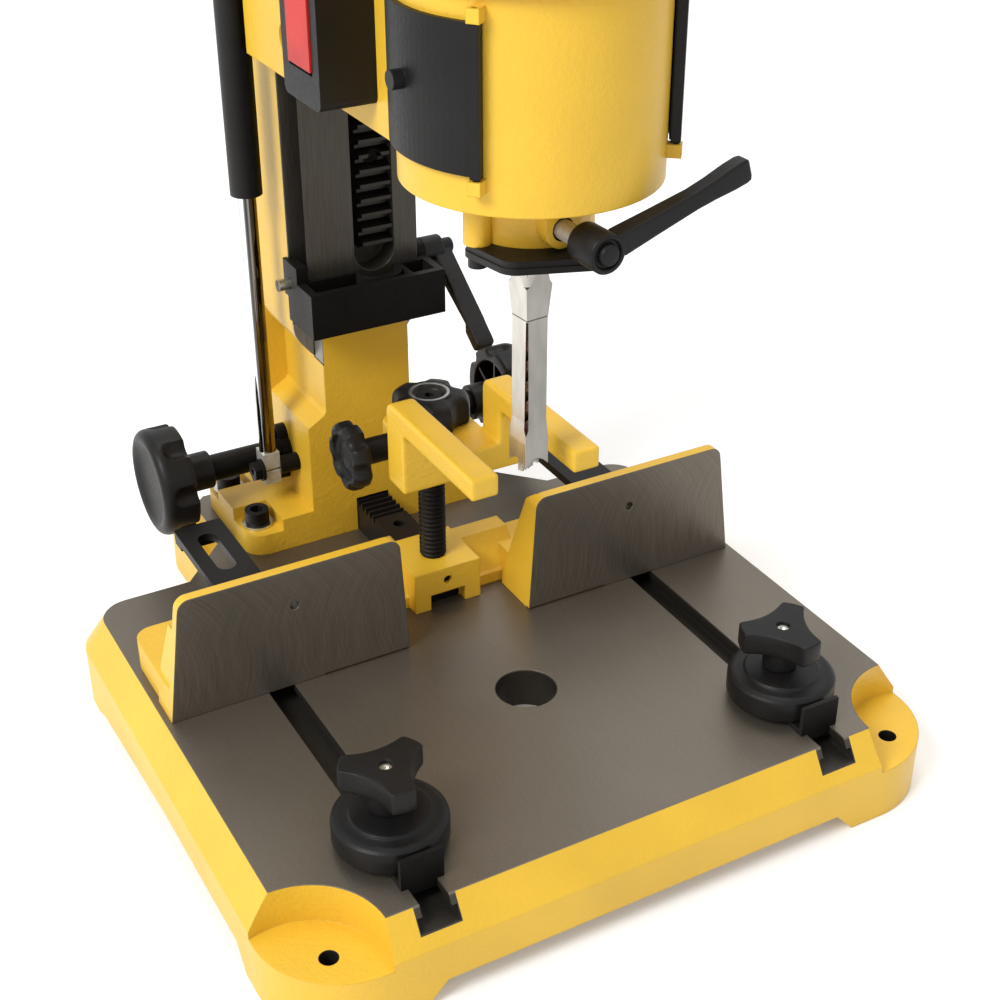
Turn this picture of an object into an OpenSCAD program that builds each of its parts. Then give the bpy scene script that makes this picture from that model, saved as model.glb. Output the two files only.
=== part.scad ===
// Hollow chisel mortiser for the bench, in millimetres.
// Origin: where the chisel axis meets the ground table top. +X right, +Y back to the column, +Z up.

/* [Table and base] */
// Width of the ground table
table_w = 419; // [400:1:430]
// Front edge of the table, ahead of the chisel axis
table_front = 135; // [130:1:145]
// Rear edge of the table, behind the chisel axis
table_rear = 217; // [212:1:222]
// Height of the table top above the bench
base_h = 62; // [58:1:75]
// How far the flared sides lean out below the table edge
flare_out = 14; // [8:1:16]
// Depth of the flared band below the table top
flare_h = 22.5; // [16:0.5:24]
// Thickness of the table plate
plate_t = 18; // [16:1:22]
// Wall thickness of the base casting
base_wall = 10; // [7:1:14]
// Radius of the hole under the chisel
table_hole_r = 19.5; // [16:0.5:24]
// Depth of the boss around that hole
table_hole_len = 28; // [22:1:34]
// Distance of each T-slot from the chisel axis
slot_x = 134; // [128:1:140]
// Width of the T-slot neck
slot_neck_w = 17.5; // [15:0.5:19]
// Depth of the T-slot neck
slot_neck_h = 6; // [5:0.5:7]
// Width of the T-slot foot
slot_foot_w = 24; // [22:0.5:27]
// Height of the T-slot foot
slot_foot_h = 7.5; // [6.5:0.5:8.5]
// Rear end of the T-slots
slot_end_y = 112; // [95:1:125]

/* [Bench ears] */
// Depth of the ear tops below the table top
ear_top = 26; // [24:1:32]
// Radius of the scoop that bares each front ear
scoop_r = 47; // [42:1:52]
// Corner radius of the skirt at the front ears
ear_corner_r = 54; // [48:1:58]
// Radius of the bench bolt holes
ear_hole_r = 5.5; // [4:0.5:7]
// Side distance of the front bench bolts
front_ear_x = 191; // [186:1:196]
// Forward distance of the front bench bolts
front_ear_y = 123; // [118:1:128]
// Side distance of the rear bench bolts
rear_ear_x = 94; // [88:1:98]
// Rearward distance of the rear bench bolts
rear_ear_y = 337; // [333:1:341]
// Half width of the low rear pedestal
pedestal_half_w = 118; // [112:1:124]
// Rear end of the low pedestal
pedestal_rear = 354; // [350:1:362]
// Half width of the raised rear pedestal that carries the column
raised_half_w = 105; // [101:1:110]
// Rear end of the raised pedestal
raised_rear = 322; // [318:1:325]

/* [Column] */
// Front face of the column
column_y = 223; // [218:1:228]
// Half width of the column foot
foot_half_w = 95; // [92:1:99]
// Depth of the column foot, front to back
foot_d = 92; // [88:1:96]
// Height of the column foot
foot_h = 25; // [22:1:28]
// Height of the bolt pads on the foot
pad_h = 16; // [13:0.5:19]
// Half width of the column body
body_half_w = 46; // [43:1:49]
// Half width of the narrow front of the column
neck_half_w = 32; // [30:1:34]
// Height of the shoulder above the lower box
shoulder_z = 98; // [92:1:104]
// Height of the top of the column
column_top = 570; // [540:1:620]
// Wall thickness of the column casting
column_wall = 11; // [8:1:13]
// Distance from the way's front face to the shoulder lands
way_depth = 16; // [14:1:18]
// Half width of the way at its front face
way_half_w = 40; // [38:0.5:42]
// Half width of the way at its root
way_root_half_w = 31; // [29:0.5:31.5]
// Lower end of the dovetail way
way_bottom = 166; // [160:1:170]
// How far the way's front face stands ahead of the column face
way_proud = 2; // [1:0.5:4]

/* [Racks and gears] */
// Module of the head rack
head_m = 3.175; // [2.8:0.005:3.5]
// Teeth on the head pinion
head_teeth = 20; // [19:1:21]
// Width of the head rack
head_rack_w = 22; // [18:1:24]
// Offset of the head rack to the right of the chisel axis
head_rack_x = 12; // [8:1:14]
// Module of the fence rack
fence_m = 2; // [1.5:0.25:2]
// Teeth on the fence pinion
fence_teeth = 30; // [28:1:31]
// Width of the fence rack bar
fence_rack_w = 24; // [20:1:26]
// Height of the fence rack bar
fence_rack_h = 24.4; // [22:0.1:25]
// Play between meshing teeth
backlash = 0.4; // [0.2:0.05:0.6]

/* [Fence] */
// Front face of the fence behind the chisel axis
fence_y = 73.6; // [70:0.1:80]
// Height of the fence faces
fence_h = 85; // [75:1:95]
// Thickness of the fence faces
fence_t = 7; // [5:0.5:8]
// Outer end of each fence face at the table
fence_outer = 206; // [200:1:208]
// Inner end of each fence face at the table
fence_inner = 44.5; // [42:0.5:50]
// How far the outer end leans in at the top
fence_lean_outer = 12; // [8:1:16]
// How far the inner end leans out at the top
fence_lean_inner = 5; // [3:1:8]
// Height of the fence foot
fence_foot_h = 22; // [18:1:26]
// Rear edge of the fence foot
fence_foot_rear = 148; // [144:1:152]
// Half width of the centre block
block_half_w = 24.5; // [22:0.5:26]
// Front face of the centre block
block_y = 105.4; // [102:0.1:108]
// Height of the centre block
block_h = 30; // [28:0.5:34]
// Radius of the holes for wooden facings
facing_hole_r = 2.9; // [2:0.1:4]
// Height of the facing holes
facing_hole_z = 59; // [50:1:66]
// Top of the slotted arms
arm_top = 44; // [40:1:48]
// Thickness of the slotted arms
arm_t = 6; // [5:0.5:8]
// Width of the slotted arms
arm_w = 33; // [28:1:35]
// Rear end of the slotted arms
arm_rear = 217; // [210:1:218]

/* [Fence drive] */
// Radius of the fence shaft
shaft_r = 9.5; // [8:0.5:10.5]
// Outer face of each handwheel, from the chisel axis
wheel_face_x = 149; // [146:1:156]
// Radius of the handwheels
wheel_r = 38; // [34:1:39]
// Thickness of the handwheel rims
wheel_t = 25; // [22:1:27]

/* [Hold-down] */
// Distance of the hold-down post behind the chisel axis
post_y = 127; // [125:1:129]
// Radius of the threaded post
post_r = 9; // [8:0.5:10]
// Pitch of the post thread
post_pitch = 3.4; // [2.5:0.1:4]
// Underside of the hold-down casting at rest
hold_bottom = 111.5; // [106:0.5:116]
// Height of the hold-down bridge
bridge_h = 19; // [16:0.5:21]
// Front face of the hold-down bridge
bridge_y = 79; // [76:1:82]
// Top of the hold-down arms at rest
hold_top = 167; // [162:1:172]
// Width of each hold-down arm
hold_arm_w = 18; // [15:0.5:20]
// Height of each hold-down arm
hold_arm_h = 14; // [12:0.5:16]
// Outer side of the hold-down arms
hold_half_w = 42.5; // [41:0.5:46]
// Front end of the hold-down arms, ahead of the chisel axis
hold_front = 10; // [4:1:16]
// Radius of the star knob
star_r = 26; // [23:0.5:27]
// Radius of the side lock knob
lock_r = 22.5; // [19:0.5:24]

/* [Hold-in wheels] */
// Distance of the clamp bolts ahead of the chisel axis
clamp_y = 80; // [70:1:84]
// Radius of the hold-in wheels
roller_r = 35.8; // [32:0.1:36.5]
// Offset of each wheel's centre from its bolt
roller_offset = 3; // [1:0.5:4]
// Height of the wheel rims
roller_h = 16; // [12:0.5:18]
// Top of the three-lobed knobs
lobe_top = 51.5; // [48:0.5:56]
// Height of the three-lobed knobs
lobe_h = 19.5; // [16:0.5:22]
// Radius of the three-lobed knobs
lobe_r = 26.5; // [24:0.5:28]

/* [Depth stop] */
// Underside of the depth stop block at rest
stop_z = 170; // [167:1:180]
// Height of the depth stop block
stop_h = 31; // [26:1:34]
// Half width of the depth stop block
stop_half_w = 47.5; // [46.5:0.5:50]
// Front face of the depth stop block
stop_y = 195; // [190:1:198]
// Length of the stop clamp lever
stop_lever_len = 82; // [74:1:90]

/* [Gas strut] */
// Side distance of the gas strut
strut_x = 66.5; // [65:0.5:70]
// Distance of the gas strut behind the chisel axis
strut_y = 251; // [249:1:253]
// Radius of the strut rod
strut_r = 6; // [5:0.5:6.5]
// Radius of the strut cylinder
strut_tube_r = 10.5; // [9.5:0.5:11]
// Lower end of the strut cylinder
strut_tube_z = 256; // [250:1:262]

/* [Head and chisel] */
// Thickness of the chisel plate
nose_plate_t = 7; // [6:0.5:9]
// Radius of the nose
nose_r = 34; // [32:0.5:37]
// Height of the nose under the chuck housing
nose_h = 30; // [27:1:33]
// Underside of the chuck housing
housing_z = 338; // [334:1:344]
// Radius of the chuck housing
housing_r = 70; // [66:1:74]
// Height of the chuck housing
housing_h = 118; // [108:1:128]
// Wall thickness of the chuck housing
housing_wall = 10; // [8:1:12]
// Underside of the carriage
carriage_z = 350; // [348:1:356]
// Height of the carriage
carriage_h = 160; // [150:1:170]
// Half width of the carriage
carriage_half_w = 64; // [60:1:66]
// Front face of the carriage
carriage_y = 150; // [140:1:156]
// Thickness of the gib
gib_t = 4; // [3:0.5:5]
// Stroke of the head
head_stroke = 105; // [80:1:106]
// Side of the chisel's square body
chisel_w = 14; // [12.7:0.1:15.2]
// Side of the chisel at its cutting tip
chisel_tip_w = 16; // [14.5:0.1:17]
// Radius of the chisel shank
shank_r = 9.525; // [9:0.005:9.6]
// Length of the chisel from its shoulder to its cutting points
chisel_len = 92; // [86:1:98]
// Length of the chisel's neck, from its shoulder to the plate
chisel_neck = 45; // [42:1:48]
// Radius of the bore inside the chisel
chisel_bore_r = 6; // [5:0.1:6.4]
// Radius of the auger bit
bit_r = 5.7; // [4.8:0.1:5.8]

/* [Motor and controls] */
// Radius of the motor body
motor_r = 76; // [70:1:82]
// Height of the motor body
motor_h = 190; // [160:1:230]
// Height of the fan cover
fan_cover_h = 44; // [36:1:54]
// Overlap of the fan cover on the motor
cover_lap = 6; // [4:0.5:8]
// Length of the feed lever from its hub
feed_len = 195; // [170:1:198]
// Radius of the feed lever rod
feed_rod_r = 7; // [6:0.5:8]

/* [Fasteners and fits] */
// Radius of the column bolts
bolt_r = 5; // [4:0.5:6]
// Radius of the cap screws on the small parts
screw_r = 3; // [2.5:0.25:3.5]
// Running clearance on shafts
run = 0.05; // [0.03:0.01:0.08]
// Sliding clearance between machined faces
slide = 0.2; // [0.15:0.05:0.3]
// Clearance between parts that only pass each other
pass = 0.5; // [0.4:0.05:0.8]

/* [Hidden] */
$fn = 64;
eps = 0.01;
paint = [0.89, 0.70, 0.20];
iron = [0.36, 0.34, 0.31];
black = [0.11, 0.11, 0.12];
steel = [0.72, 0.72, 0.70];
zinc = [0.78, 0.78, 0.74];

table_half = table_w / 2;
skirt_half = table_half + flare_out;
skirt_front = table_front + flare_out;
skirt_rear = table_rear + flare_out;
rear_corner_r = 20;
slot_depth = slot_neck_h + slot_foot_h;
foot_rear = column_y + foot_d;
bolt_x = foot_half_w - 13;
bolt_y1 = column_y + 18;
bolt_y2 = foot_rear - 18;
washer_r = 2 * bolt_r + 1;
washer_t = 2;
bolt_head_r = 8.5 * bolt_r / 5;
bolt_head_h = 2 * bolt_r;
way_y = column_y - way_proud;
land_y = way_y + way_depth;
function way_x(y) = way_half_w - (y - way_y) * (way_half_w - way_root_half_w) / way_depth;

head_pitch = PI * head_m;
head_rp = head_m * head_teeth / 2;
head_rack_y = way_y + 1;
feed_y = head_rack_y + head_m - head_rp;
feed_z = carriage_z + 62;
head_rack_top = column_top - 20;
head_rack_z = way_bottom + 46.5;
head_rack_d = 12;
rack_head_h = 4;
fence_pitch = PI * fence_m;
fence_rp = fence_m * fence_teeth / 2;
shaft_y = column_y + 47;
shaft_z = fence_rack_h - fence_m + fence_rp;
teeth_front = column_y - 30;
fence_rack_front = block_y + 8;
fence_rack_rear = shaft_y + 80;

star_z = hold_bottom + bridge_h;
star_h = 22;
post_top = star_z + star_h - 3;
lock_z = hold_bottom + 8.5;
arm_z = arm_top - arm_t;
wheel_z = 4.6;
tab_y = -clamp_y - roller_r - roller_offset - 0.4;
housing_top = housing_z + housing_h;
carriage_top = carriage_z + carriage_h;
motor_top = housing_top + motor_h;
clamp_angle = 2.8;
clamp_off = -5.6;
plate_lobes = [[-36.8, -8.5, 6.5], [-27, -31.8, 11.8], [13, -45.5, 12.5], [20, 4, 10], [-5, 14, 12]];
plate_screws = [[-36.8, -8.5], [20, 6], [15, -22]];
nose_z = housing_z - nose_h;
plate_z = nose_z - nose_plate_t;
chisel_shoulder_z = plate_z - chisel_neck;
chisel_tip_z = chisel_shoulder_z - chisel_len;
clamp_z = nose_z + 11.5;
clamp_face = nose_r + 5;
clamp_hub = clamp_face + 18;

// Solid of revolution helpers along each axis
module x_cyl(r, h, p) translate(p) rotate([0, 90, 0]) cylinder(r = r, h = h);
module y_cyl(r, h, p) translate(p) rotate([-90, 0, 0]) cylinder(r = r, h = h);
module z_cyl(r, h, p) translate(p) cylinder(r = r, h = h);
// Extrusions of outlines drawn in the YZ and XZ planes
module x_ext(h, x0) translate([x0, 0, 0]) rotate([90, 0, 90]) linear_extrude(h) children();
module y_ext(h, y0) translate([0, y0 + h, 0]) rotate([90, 0, 0]) linear_extrude(h) children();
// Box from its lowest to its highest corner
module box(a, b) translate(a) cube(b - a);
module mirrored() {
    children();
    mirror([1, 0, 0]) children();
}
// Rectangle with round corners, in exact arcs
module round_rect(a, b, r) {
    translate([a.x + r, a.y]) square([b.x - a.x - 2 * r, b.y - a.y]);
    translate([a.x, a.y + r]) square([b.x - a.x, b.y - a.y - 2 * r]);
    for (x = [a.x + r, b.x - r], y = [a.y + r, b.y - r]) translate([x, y]) circle(r);
}
// Skirt outline with its own radii at the front and the rear corners
module skirt_outline(half, front, rear, rf, rr) {
    translate([-half + rf, -front]) square([2 * (half - rf), rf + 1]);
    translate([-half, -front + rf]) square([2 * half, front + rear - rf - rr]);
    translate([-half + rr, rear - rr - 1]) square([2 * (half - rr), rr + 1]);
    for (s = [-1, 1]) {
        translate([s * (half - rf), -front + rf]) circle(rf);
        translate([s * (half - rr), rear - rr]) circle(rr);
    }
}
// Knob outline: a disc with scallops cut from its rim
module lobed(r, n, scallop, bite, phase = 0) difference() {
    circle(r);
    for (i = [0 : n - 1]) rotate(phase + i * 360 / n) translate([r + scallop - bite, 0]) circle(scallop);
}
// Threaded rod with its ridges as rings
module threaded(r, h, pitch, depth) rotate_extrude() polygon(concat([[0, 0], [r - depth, 0]],
    [for (i = [0 : floor(h / pitch) - 1]) each [[r - depth, i * pitch + 0.15 * pitch],
        [r, i * pitch + 0.4 * pitch], [r, i * pitch + 0.6 * pitch], [r - depth, i * pitch + 0.85 * pitch]]],
    [[r - depth, h], [0, h]]));
// Cap screw pointing down -Z, its head resting on z = 0
module cap_screw(r, len) difference() {
    union() {
        z_cyl(r, len, [0, 0, -len]);
        z_cyl(1.7 * r, 2 * r, [0, 0, 0]);
    }
    translate([0, 0, r]) cylinder(r = r, h = r + 1, $fn = 6);
}
// Involute gear outline
function inv_deg(a) = tan(a) * 180 / PI - a;
function tooth_half(rb, rp, n, r) = 90 / n - backlash / rp * 90 / PI / 2 + inv_deg(20)
    - inv_deg(acos(min(1, rb / max(r, rb))));
function gear_points(m, n) = let (rp = m * n / 2, rb = rp * cos(20), rf = rp - 1.2 * m, ra = rp + 0.95 * m,
    rr = [rf, for (k = [0 : 4]) max(rf, rb) + 0.01 + (ra - max(rf, rb) - 0.01) * k / 4])
    [for (i = [0 : n - 1]) each concat(
        [for (r = rr) let (a = i * 360 / n - tooth_half(rb, rp, n, r)) [r * cos(a), r * sin(a)]],
        [for (k = [len(rr) - 1 : -1 : 0]) let (r = rr[k], a = i * 360 / n + tooth_half(rb, rp, n, r))
            [r * cos(a), r * sin(a)]])];
// Rack outline along +x with teeth up, pitch line on y = 0, a gap centred on x = 0
module rack_outline(m, from, to, depth) {
    p = PI * m;
    w = p / 4 - backlash / 4;
    difference() {
        translate([from, -depth]) square([to - from, depth + m]);
        for (i = [ceil(from / p) : floor(to / p)]) translate([i * p, 0]) polygon([
            [-(p / 2 - w) - 1.02 * m * tan(20), 1.02 * m], [-(p / 2 - w) + 1.25 * m * tan(20), -1.25 * m],
            [(p / 2 - w) - 1.25 * m * tan(20), -1.25 * m], [(p / 2 - w) + 1.02 * m * tan(20), 1.02 * m]]);
    }
}

// Base: one casting with a ground table top, flared skirt, four bench ears and a pedestal for the column
module base_casting() color(paint) difference() {
    union() {
        hull() {
            translate([0, 0, -1]) linear_extrude(1)
                skirt_outline(table_half, table_front, table_rear, 2, rear_corner_r, $fn = 32);
            translate([0, 0, -flare_h]) linear_extrude(1)
                skirt_outline(skirt_half, skirt_front, skirt_rear, ear_corner_r, rear_corner_r + 12, $fn = 32);
        }
        translate([0, 0, -base_h]) linear_extrude(base_h - flare_h + eps)
            skirt_outline(skirt_half, skirt_front, skirt_rear, ear_corner_r, rear_corner_r + 12);
        translate([0, 0, -base_h]) linear_extrude(base_h - ear_top)
            round_rect([-pedestal_half_w, 100], [pedestal_half_w, pedestal_rear], 24);
        translate([0, 0, -base_h + 1]) linear_extrude(base_h - 1) polygon([
            [-143, table_rear - 60], [-143, table_rear], [-raised_half_w - 3, table_rear + 38],
            [-raised_half_w, table_rear + 46], [-raised_half_w, raised_rear - 10],
            [-raised_half_w + 10, raised_rear], [raised_half_w - 10, raised_rear],
            [raised_half_w, raised_rear - 10], [raised_half_w, table_rear + 46],
            [raised_half_w + 3, table_rear + 38], [143, table_rear], [143, table_rear - 60]]);
    }
    // hollow underside, leaving the ears, the slot ribs and the boss of the table hole
    difference() {
        translate([0, 0, -base_h - 1]) linear_extrude(base_h + 1 - plate_t) {
            round_rect([-skirt_half + base_wall, -skirt_front + base_wall],
                [skirt_half - base_wall, skirt_rear - base_wall], 30);
            translate([-raised_half_w + base_wall, 150])
                square([2 * (raised_half_w - base_wall), raised_rear - base_wall - 150]);
        }
        z_cyl(table_hole_r + 8, base_h, [0, 0, -table_hole_len]);
        mirrored() {
            box([slot_x - slot_foot_w / 2 - 7, -skirt_front, -slot_depth - 8],
                [slot_x + slot_foot_w / 2 + 7, slot_end_y + 10, 0]);
            z_cyl(30, base_h, [front_ear_x, -front_ear_y, -base_h]);
            box([front_ear_x, -front_ear_y, -base_h], [skirt_half, -front_ear_y + 30, 0]);
            box([front_ear_x - 30, -skirt_front, -base_h], [front_ear_x, -front_ear_y, 0]);
            z_cyl(scoop_r + base_wall, base_h, [table_half, -table_front, -ear_top - base_wall]);
            z_cyl(22, base_h, [rear_ear_x, rear_ear_y, -base_h]);
            for (y = [bolt_y1, bolt_y2]) z_cyl(14, base_h, [bolt_x, y, -plate_t - 16]);
        }
    }
    mirrored() {
        // T-slot
        box([slot_x - slot_neck_w / 2, -skirt_front - 1, -slot_neck_h - eps],
            [slot_x + slot_neck_w / 2, slot_end_y, 1]);
        box([slot_x - slot_foot_w / 2, -skirt_front - 1, -slot_depth],
            [slot_x + slot_foot_w / 2, slot_end_y, -slot_neck_h]);
        // scoop over the front ear, then the bench bolt holes
        z_cyl(scoop_r, ear_top + 1, [table_half, -table_front, -ear_top]);
        z_cyl(ear_hole_r, base_h + 2, [front_ear_x, -front_ear_y, -base_h - 1]);
        z_cyl(ear_hole_r, base_h + 2, [rear_ear_x, rear_ear_y, -base_h - 1]);
        for (y = [bolt_y1, bolt_y2]) z_cyl(bolt_r + run, 30, [bolt_x, y, -28]);
        // arch under each side of the skirt
        x_ext(base_wall + 3, skirt_half - base_wall - 2) polygon([[-front_ear_y + 42, -base_h - 1],
            [-front_ear_y + 55, -base_h + 15], [50, -base_h + 15], [175, -base_h + 5], [190, -base_h - 1]]);
    }
    // arch under the front of the skirt
    y_ext(base_wall + 3, -skirt_front - 1) polygon([[-front_ear_x + 44, -base_h - 1],
        [-front_ear_x + 58, -base_h + 14], [front_ear_x - 58, -base_h + 14], [front_ear_x - 44, -base_h - 1]]);
    z_cyl(table_hole_r, base_h, [0, 0, -table_hole_len - 1]);
}

// Column: bolted foot, lower box, narrow neck and the dovetail way that the head slides on
module column_casting() color(paint) difference() {
    union() {
        linear_extrude(foot_h) round_rect([-foot_half_w, column_y], [foot_half_w, foot_rear], 14);
        y_ext(foot_d, column_y) polygon([for (s = [1, -1]) each s > 0 ?
            [[-body_half_w, 1], [-body_half_w, shoulder_z - 7], [-neck_half_w - 2, shoulder_z],
             [-neck_half_w, shoulder_z + 3], [-neck_half_w, column_top]] :
            [[neck_half_w, column_top], [neck_half_w, shoulder_z + 3], [neck_half_w + 2, shoulder_z],
             [body_half_w, shoulder_z - 7], [body_half_w, 1]]]);
        y_ext(foot_rear - land_y, land_y) polygon([[-neck_half_w, way_bottom - 28],
            [-neck_half_w - 3, way_bottom - 25], [-body_half_w + 4, way_bottom - 16],
            [-body_half_w + 1, way_bottom - 10.5], [-body_half_w, way_bottom - 5], [-body_half_w, column_top],
            [body_half_w, column_top], [body_half_w, way_bottom - 5], [body_half_w - 1, way_bottom - 10.5],
            [body_half_w - 4, way_bottom - 16], [neck_half_w + 3, way_bottom - 25],
            [neck_half_w, way_bottom - 28]]);
        // the foot's rear wall behind the ledge
        box([-body_half_w, foot_rear - 24, 1], [body_half_w, foot_rear, way_bottom]);
        translate([0, 0, way_bottom]) linear_extrude(column_top - way_bottom) polygon([[-way_half_w, way_y],
            [-way_root_half_w, land_y], [way_root_half_w, land_y], [way_half_w, way_y]]);
    }
    mirrored() {
        // relief beside the dovetail root
        translate([0, 0, way_bottom]) linear_extrude(column_top) polygon([[way_half_w + 3, way_y - 4],
            [way_half_w, way_y], [way_root_half_w, land_y], [way_half_w + 10, land_y], [way_half_w + 10, way_y - 4]]);
        // pads for the foot bolts
        for (f = [0, 1]) translate([foot_half_w - 25.5, f == 0 ? column_y - 1 : foot_rear - 31, pad_h])
            box([0, 0, 0], [40, 32, foot_h]);
        for (y = [bolt_y1, bolt_y2]) z_cyl(bolt_r + run, foot_h, [bolt_x, y, -1]);
        // blind hole for the strut bolt
    x_cyl(4 + run / 4, 14, [-body_half_w - 3, strut_y - 3, strut_pin_z]);
    // bushing seats
        x_cyl(shaft_r + 3 + run, body_half_w, [9, shaft_y, shaft_z]);
    }
    // rack groove in the way
    translate([0, 0, head_rack_z]) linear_extrude(column_top) polygon([[head_rack_x - head_rack_w / 2 - 7, way_y - 1],
        [head_rack_x - head_rack_w / 2 - 7, rack_seat_y], [head_rack_x + head_rack_w / 2 + slide, rack_seat_y],
        [head_rack_x + head_rack_w / 2 + slide, way_y - 1]]);
    y_cyl((head_rack_w + 7) / 2, rack_seat_y - way_y + 1, [head_rack_x - 3.4, way_y - 1, head_rack_z + 1]);
    // hollow of the column above the gear box, and the gear box itself
    box([-body_half_w + column_wall, land_y + column_wall + 2, way_bottom + 12],
        [body_half_w - column_wall, foot_rear - column_wall, column_top + 1]);
    box([-fence_rack_w / 2 - 4, column_y + 9, fence_rack_h + 1], [fence_rack_w / 2 + 4, foot_rear - 9,
        shaft_z + fence_rp + fence_m + 3]);
    // passage for the fence rack
    box([-fence_rack_w / 2 - slide, column_y - 1, -1], [fence_rack_w / 2 + slide, foot_rear + 1, fence_rack_h + 1.5]);
    // holes for the rack screws
    for (z = head_screw_heights) y_cyl(screw_r + run, 40, [head_rack_x, way_y, z]);
}
head_screw_heights = [head_rack_z + 62, (head_rack_z + head_rack_top) / 2, head_rack_top - 25];
rack_seat_y = head_rack_y + head_m + head_rack_d + slide;
rack_head_y = head_rack_y + 2.25 * head_m + rack_head_h + 0.4;

module column_bolts() color(black) mirrored() for (y = [bolt_y1, bolt_y2])
    translate([bolt_x, y, pad_h + washer_t]) cap_screw(bolt_r, pad_h + washer_t + 25);
module column_washers() color(zinc) mirrored() for (y = [bolt_y1, bolt_y2]) difference() {
    z_cyl(washer_r, washer_t, [bolt_x, y, pad_h]);
    z_cyl(bolt_r + run, washer_t + 2, [bolt_x, y, pad_h - 1]);
}
module column_cap() color(black) difference() {
    union() {
        translate([0, 0, column_top]) linear_extrude(5)
            round_rect([-body_half_w - 1, way_y + 12], [body_half_w + 1, foot_rear + 1], 5);
        box([-body_half_w + column_wall + slide, land_y + column_wall + 2 + slide, column_top - 10],
            [body_half_w - column_wall - slide, foot_rear - column_wall - slide, column_top]);
    }
    box([-body_half_w + column_wall + 3, land_y + column_wall + 5, column_top - 11],
        [body_half_w - column_wall - 3, foot_rear - column_wall - 3, column_top + 2]);
}

// Steel rack screwed into the groove of the way; the head pinion climbs it
module head_rack() color(iron) difference() {
    translate([0, head_rack_y + head_m, feed_z]) x_ext(head_rack_w, head_rack_x - head_rack_w / 2)
        rotate(90) rack_outline(head_m, head_rack_z - feed_z, head_rack_top - feed_z, head_rack_d);
    for (z = head_screw_heights) {
        y_cyl(screw_r + run, 40, [head_rack_x, way_y - 10, z]);
        y_cyl(1.7 * screw_r + 0.3, rack_head_y - head_rack_y + 2, [head_rack_x, head_rack_y - 2, z]);
    }
}
module head_rack_screws() color(black) for (z = head_screw_heights)
    translate([head_rack_x, rack_head_y, z]) rotate([90, 0, 0]) intersection() {
        cap_screw(screw_r, 18);
        z_cyl(2 * screw_r, 18 + rack_head_h, [0, 0, -18]);
    }

// Gas strut: chrome rod pinned to the column, cylinder carried by the head
clevis_top = 67;
clevis_bottom = 43;
clevis_half = 6;
strut_pin_z = 54;
strut_rod_top = strut_tube_z + 44;
module strut_rod() color(steel) {
    z_cyl(strut_r, strut_rod_top - clevis_top + 0.0, [-strut_x, strut_y, clevis_top]);
    z_cyl(strut_tube_r - 2.2, 8, [-strut_x, strut_y, strut_rod_top]);
    z_cyl(strut_r - 2, 8, [-strut_x, strut_y, clevis_top - 8]);
}
module strut_clevis() color(zinc) difference() {
    box([-strut_x - clevis_half, strut_y - clevis_half - 1, clevis_bottom],
        [-strut_x + clevis_half, strut_y + clevis_half + 1, clevis_top]);
    z_cyl(strut_r - 2 + run, 20, [-strut_x, strut_y, clevis_top - 8.5]);
    x_cyl(4 + run / 4, 40, [-strut_x - 20, strut_y - 3, strut_pin_z]);
}
module strut_bolt() color(black) translate([-strut_x - clevis_half - 2, strut_y - 3, strut_pin_z]) {
    difference() {
        union() {
            x_cyl(4, strut_x + clevis_half + 2 - body_half_w + 10, [0, 0, 0]);
            x_cyl(8, 2, [0, 0, 0]);
            rotate([0, 90, 0]) translate([0, 0, -5.5]) cylinder(r = 7.4, h = 5.5, $fn = 6);
            x_cyl(6.5, strut_x - clevis_half - body_half_w - 0.2, [2 * clevis_half + 2.1, 0, 0]);
        }
        x_cyl(2.5, 3, [-6, 0, 0]);
    }
}
module strut_cylinder() color(black) difference() {
    union() {
        z_cyl(strut_tube_r, carriage_top - 18 - strut_tube_z, [-strut_x, strut_y, strut_tube_z]);
        z_cyl(5, 20, [-strut_x, strut_y, carriage_top - 18]);
    }
    z_cyl(strut_r + run, 20, [-strut_x, strut_y, strut_tube_z - 1]);
    z_cyl(strut_tube_r - 1.8, carriage_top - 24 - strut_tube_z - 10, [-strut_x, strut_y, strut_tube_z + 10]);
}

// Two-bolt flanged bushings that carry the fence shaft in the column
module shaft_bushings() color(black) mirrored() difference() {
    union() {
        x_cyl(shaft_r + 3, body_half_w - 14, [14, shaft_y, shaft_z]);
        x_ext(7, body_half_w) {
            translate([shaft_y, shaft_z]) circle(shaft_r + 6);
            for (s = [-1, 1]) translate([shaft_y, shaft_z + s * 14]) circle(7.5);
        }
        x_cyl(shaft_r + 4, 4, [body_half_w + 7, shaft_y, shaft_z]);
        for (s = [-1, 1]) x_cyl(4, 3, [body_half_w + 7, shaft_y, shaft_z + s * 15.5]);
    }
    x_cyl(shaft_r + run, body_half_w, [13, shaft_y, shaft_z]);
}
// Spring clip for the hex key on the back of the column
module tool_clip() color(black) {
    translate([-body_half_w + 8, foot_rear, 66]) difference() {
        box([-7, 0, 0], [7, 12, 18]);
        z_cyl(3.2, 22, [0, 7, -1]);
        box([-2, 7, -1], [2, 13, 20]);
    }
}

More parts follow.
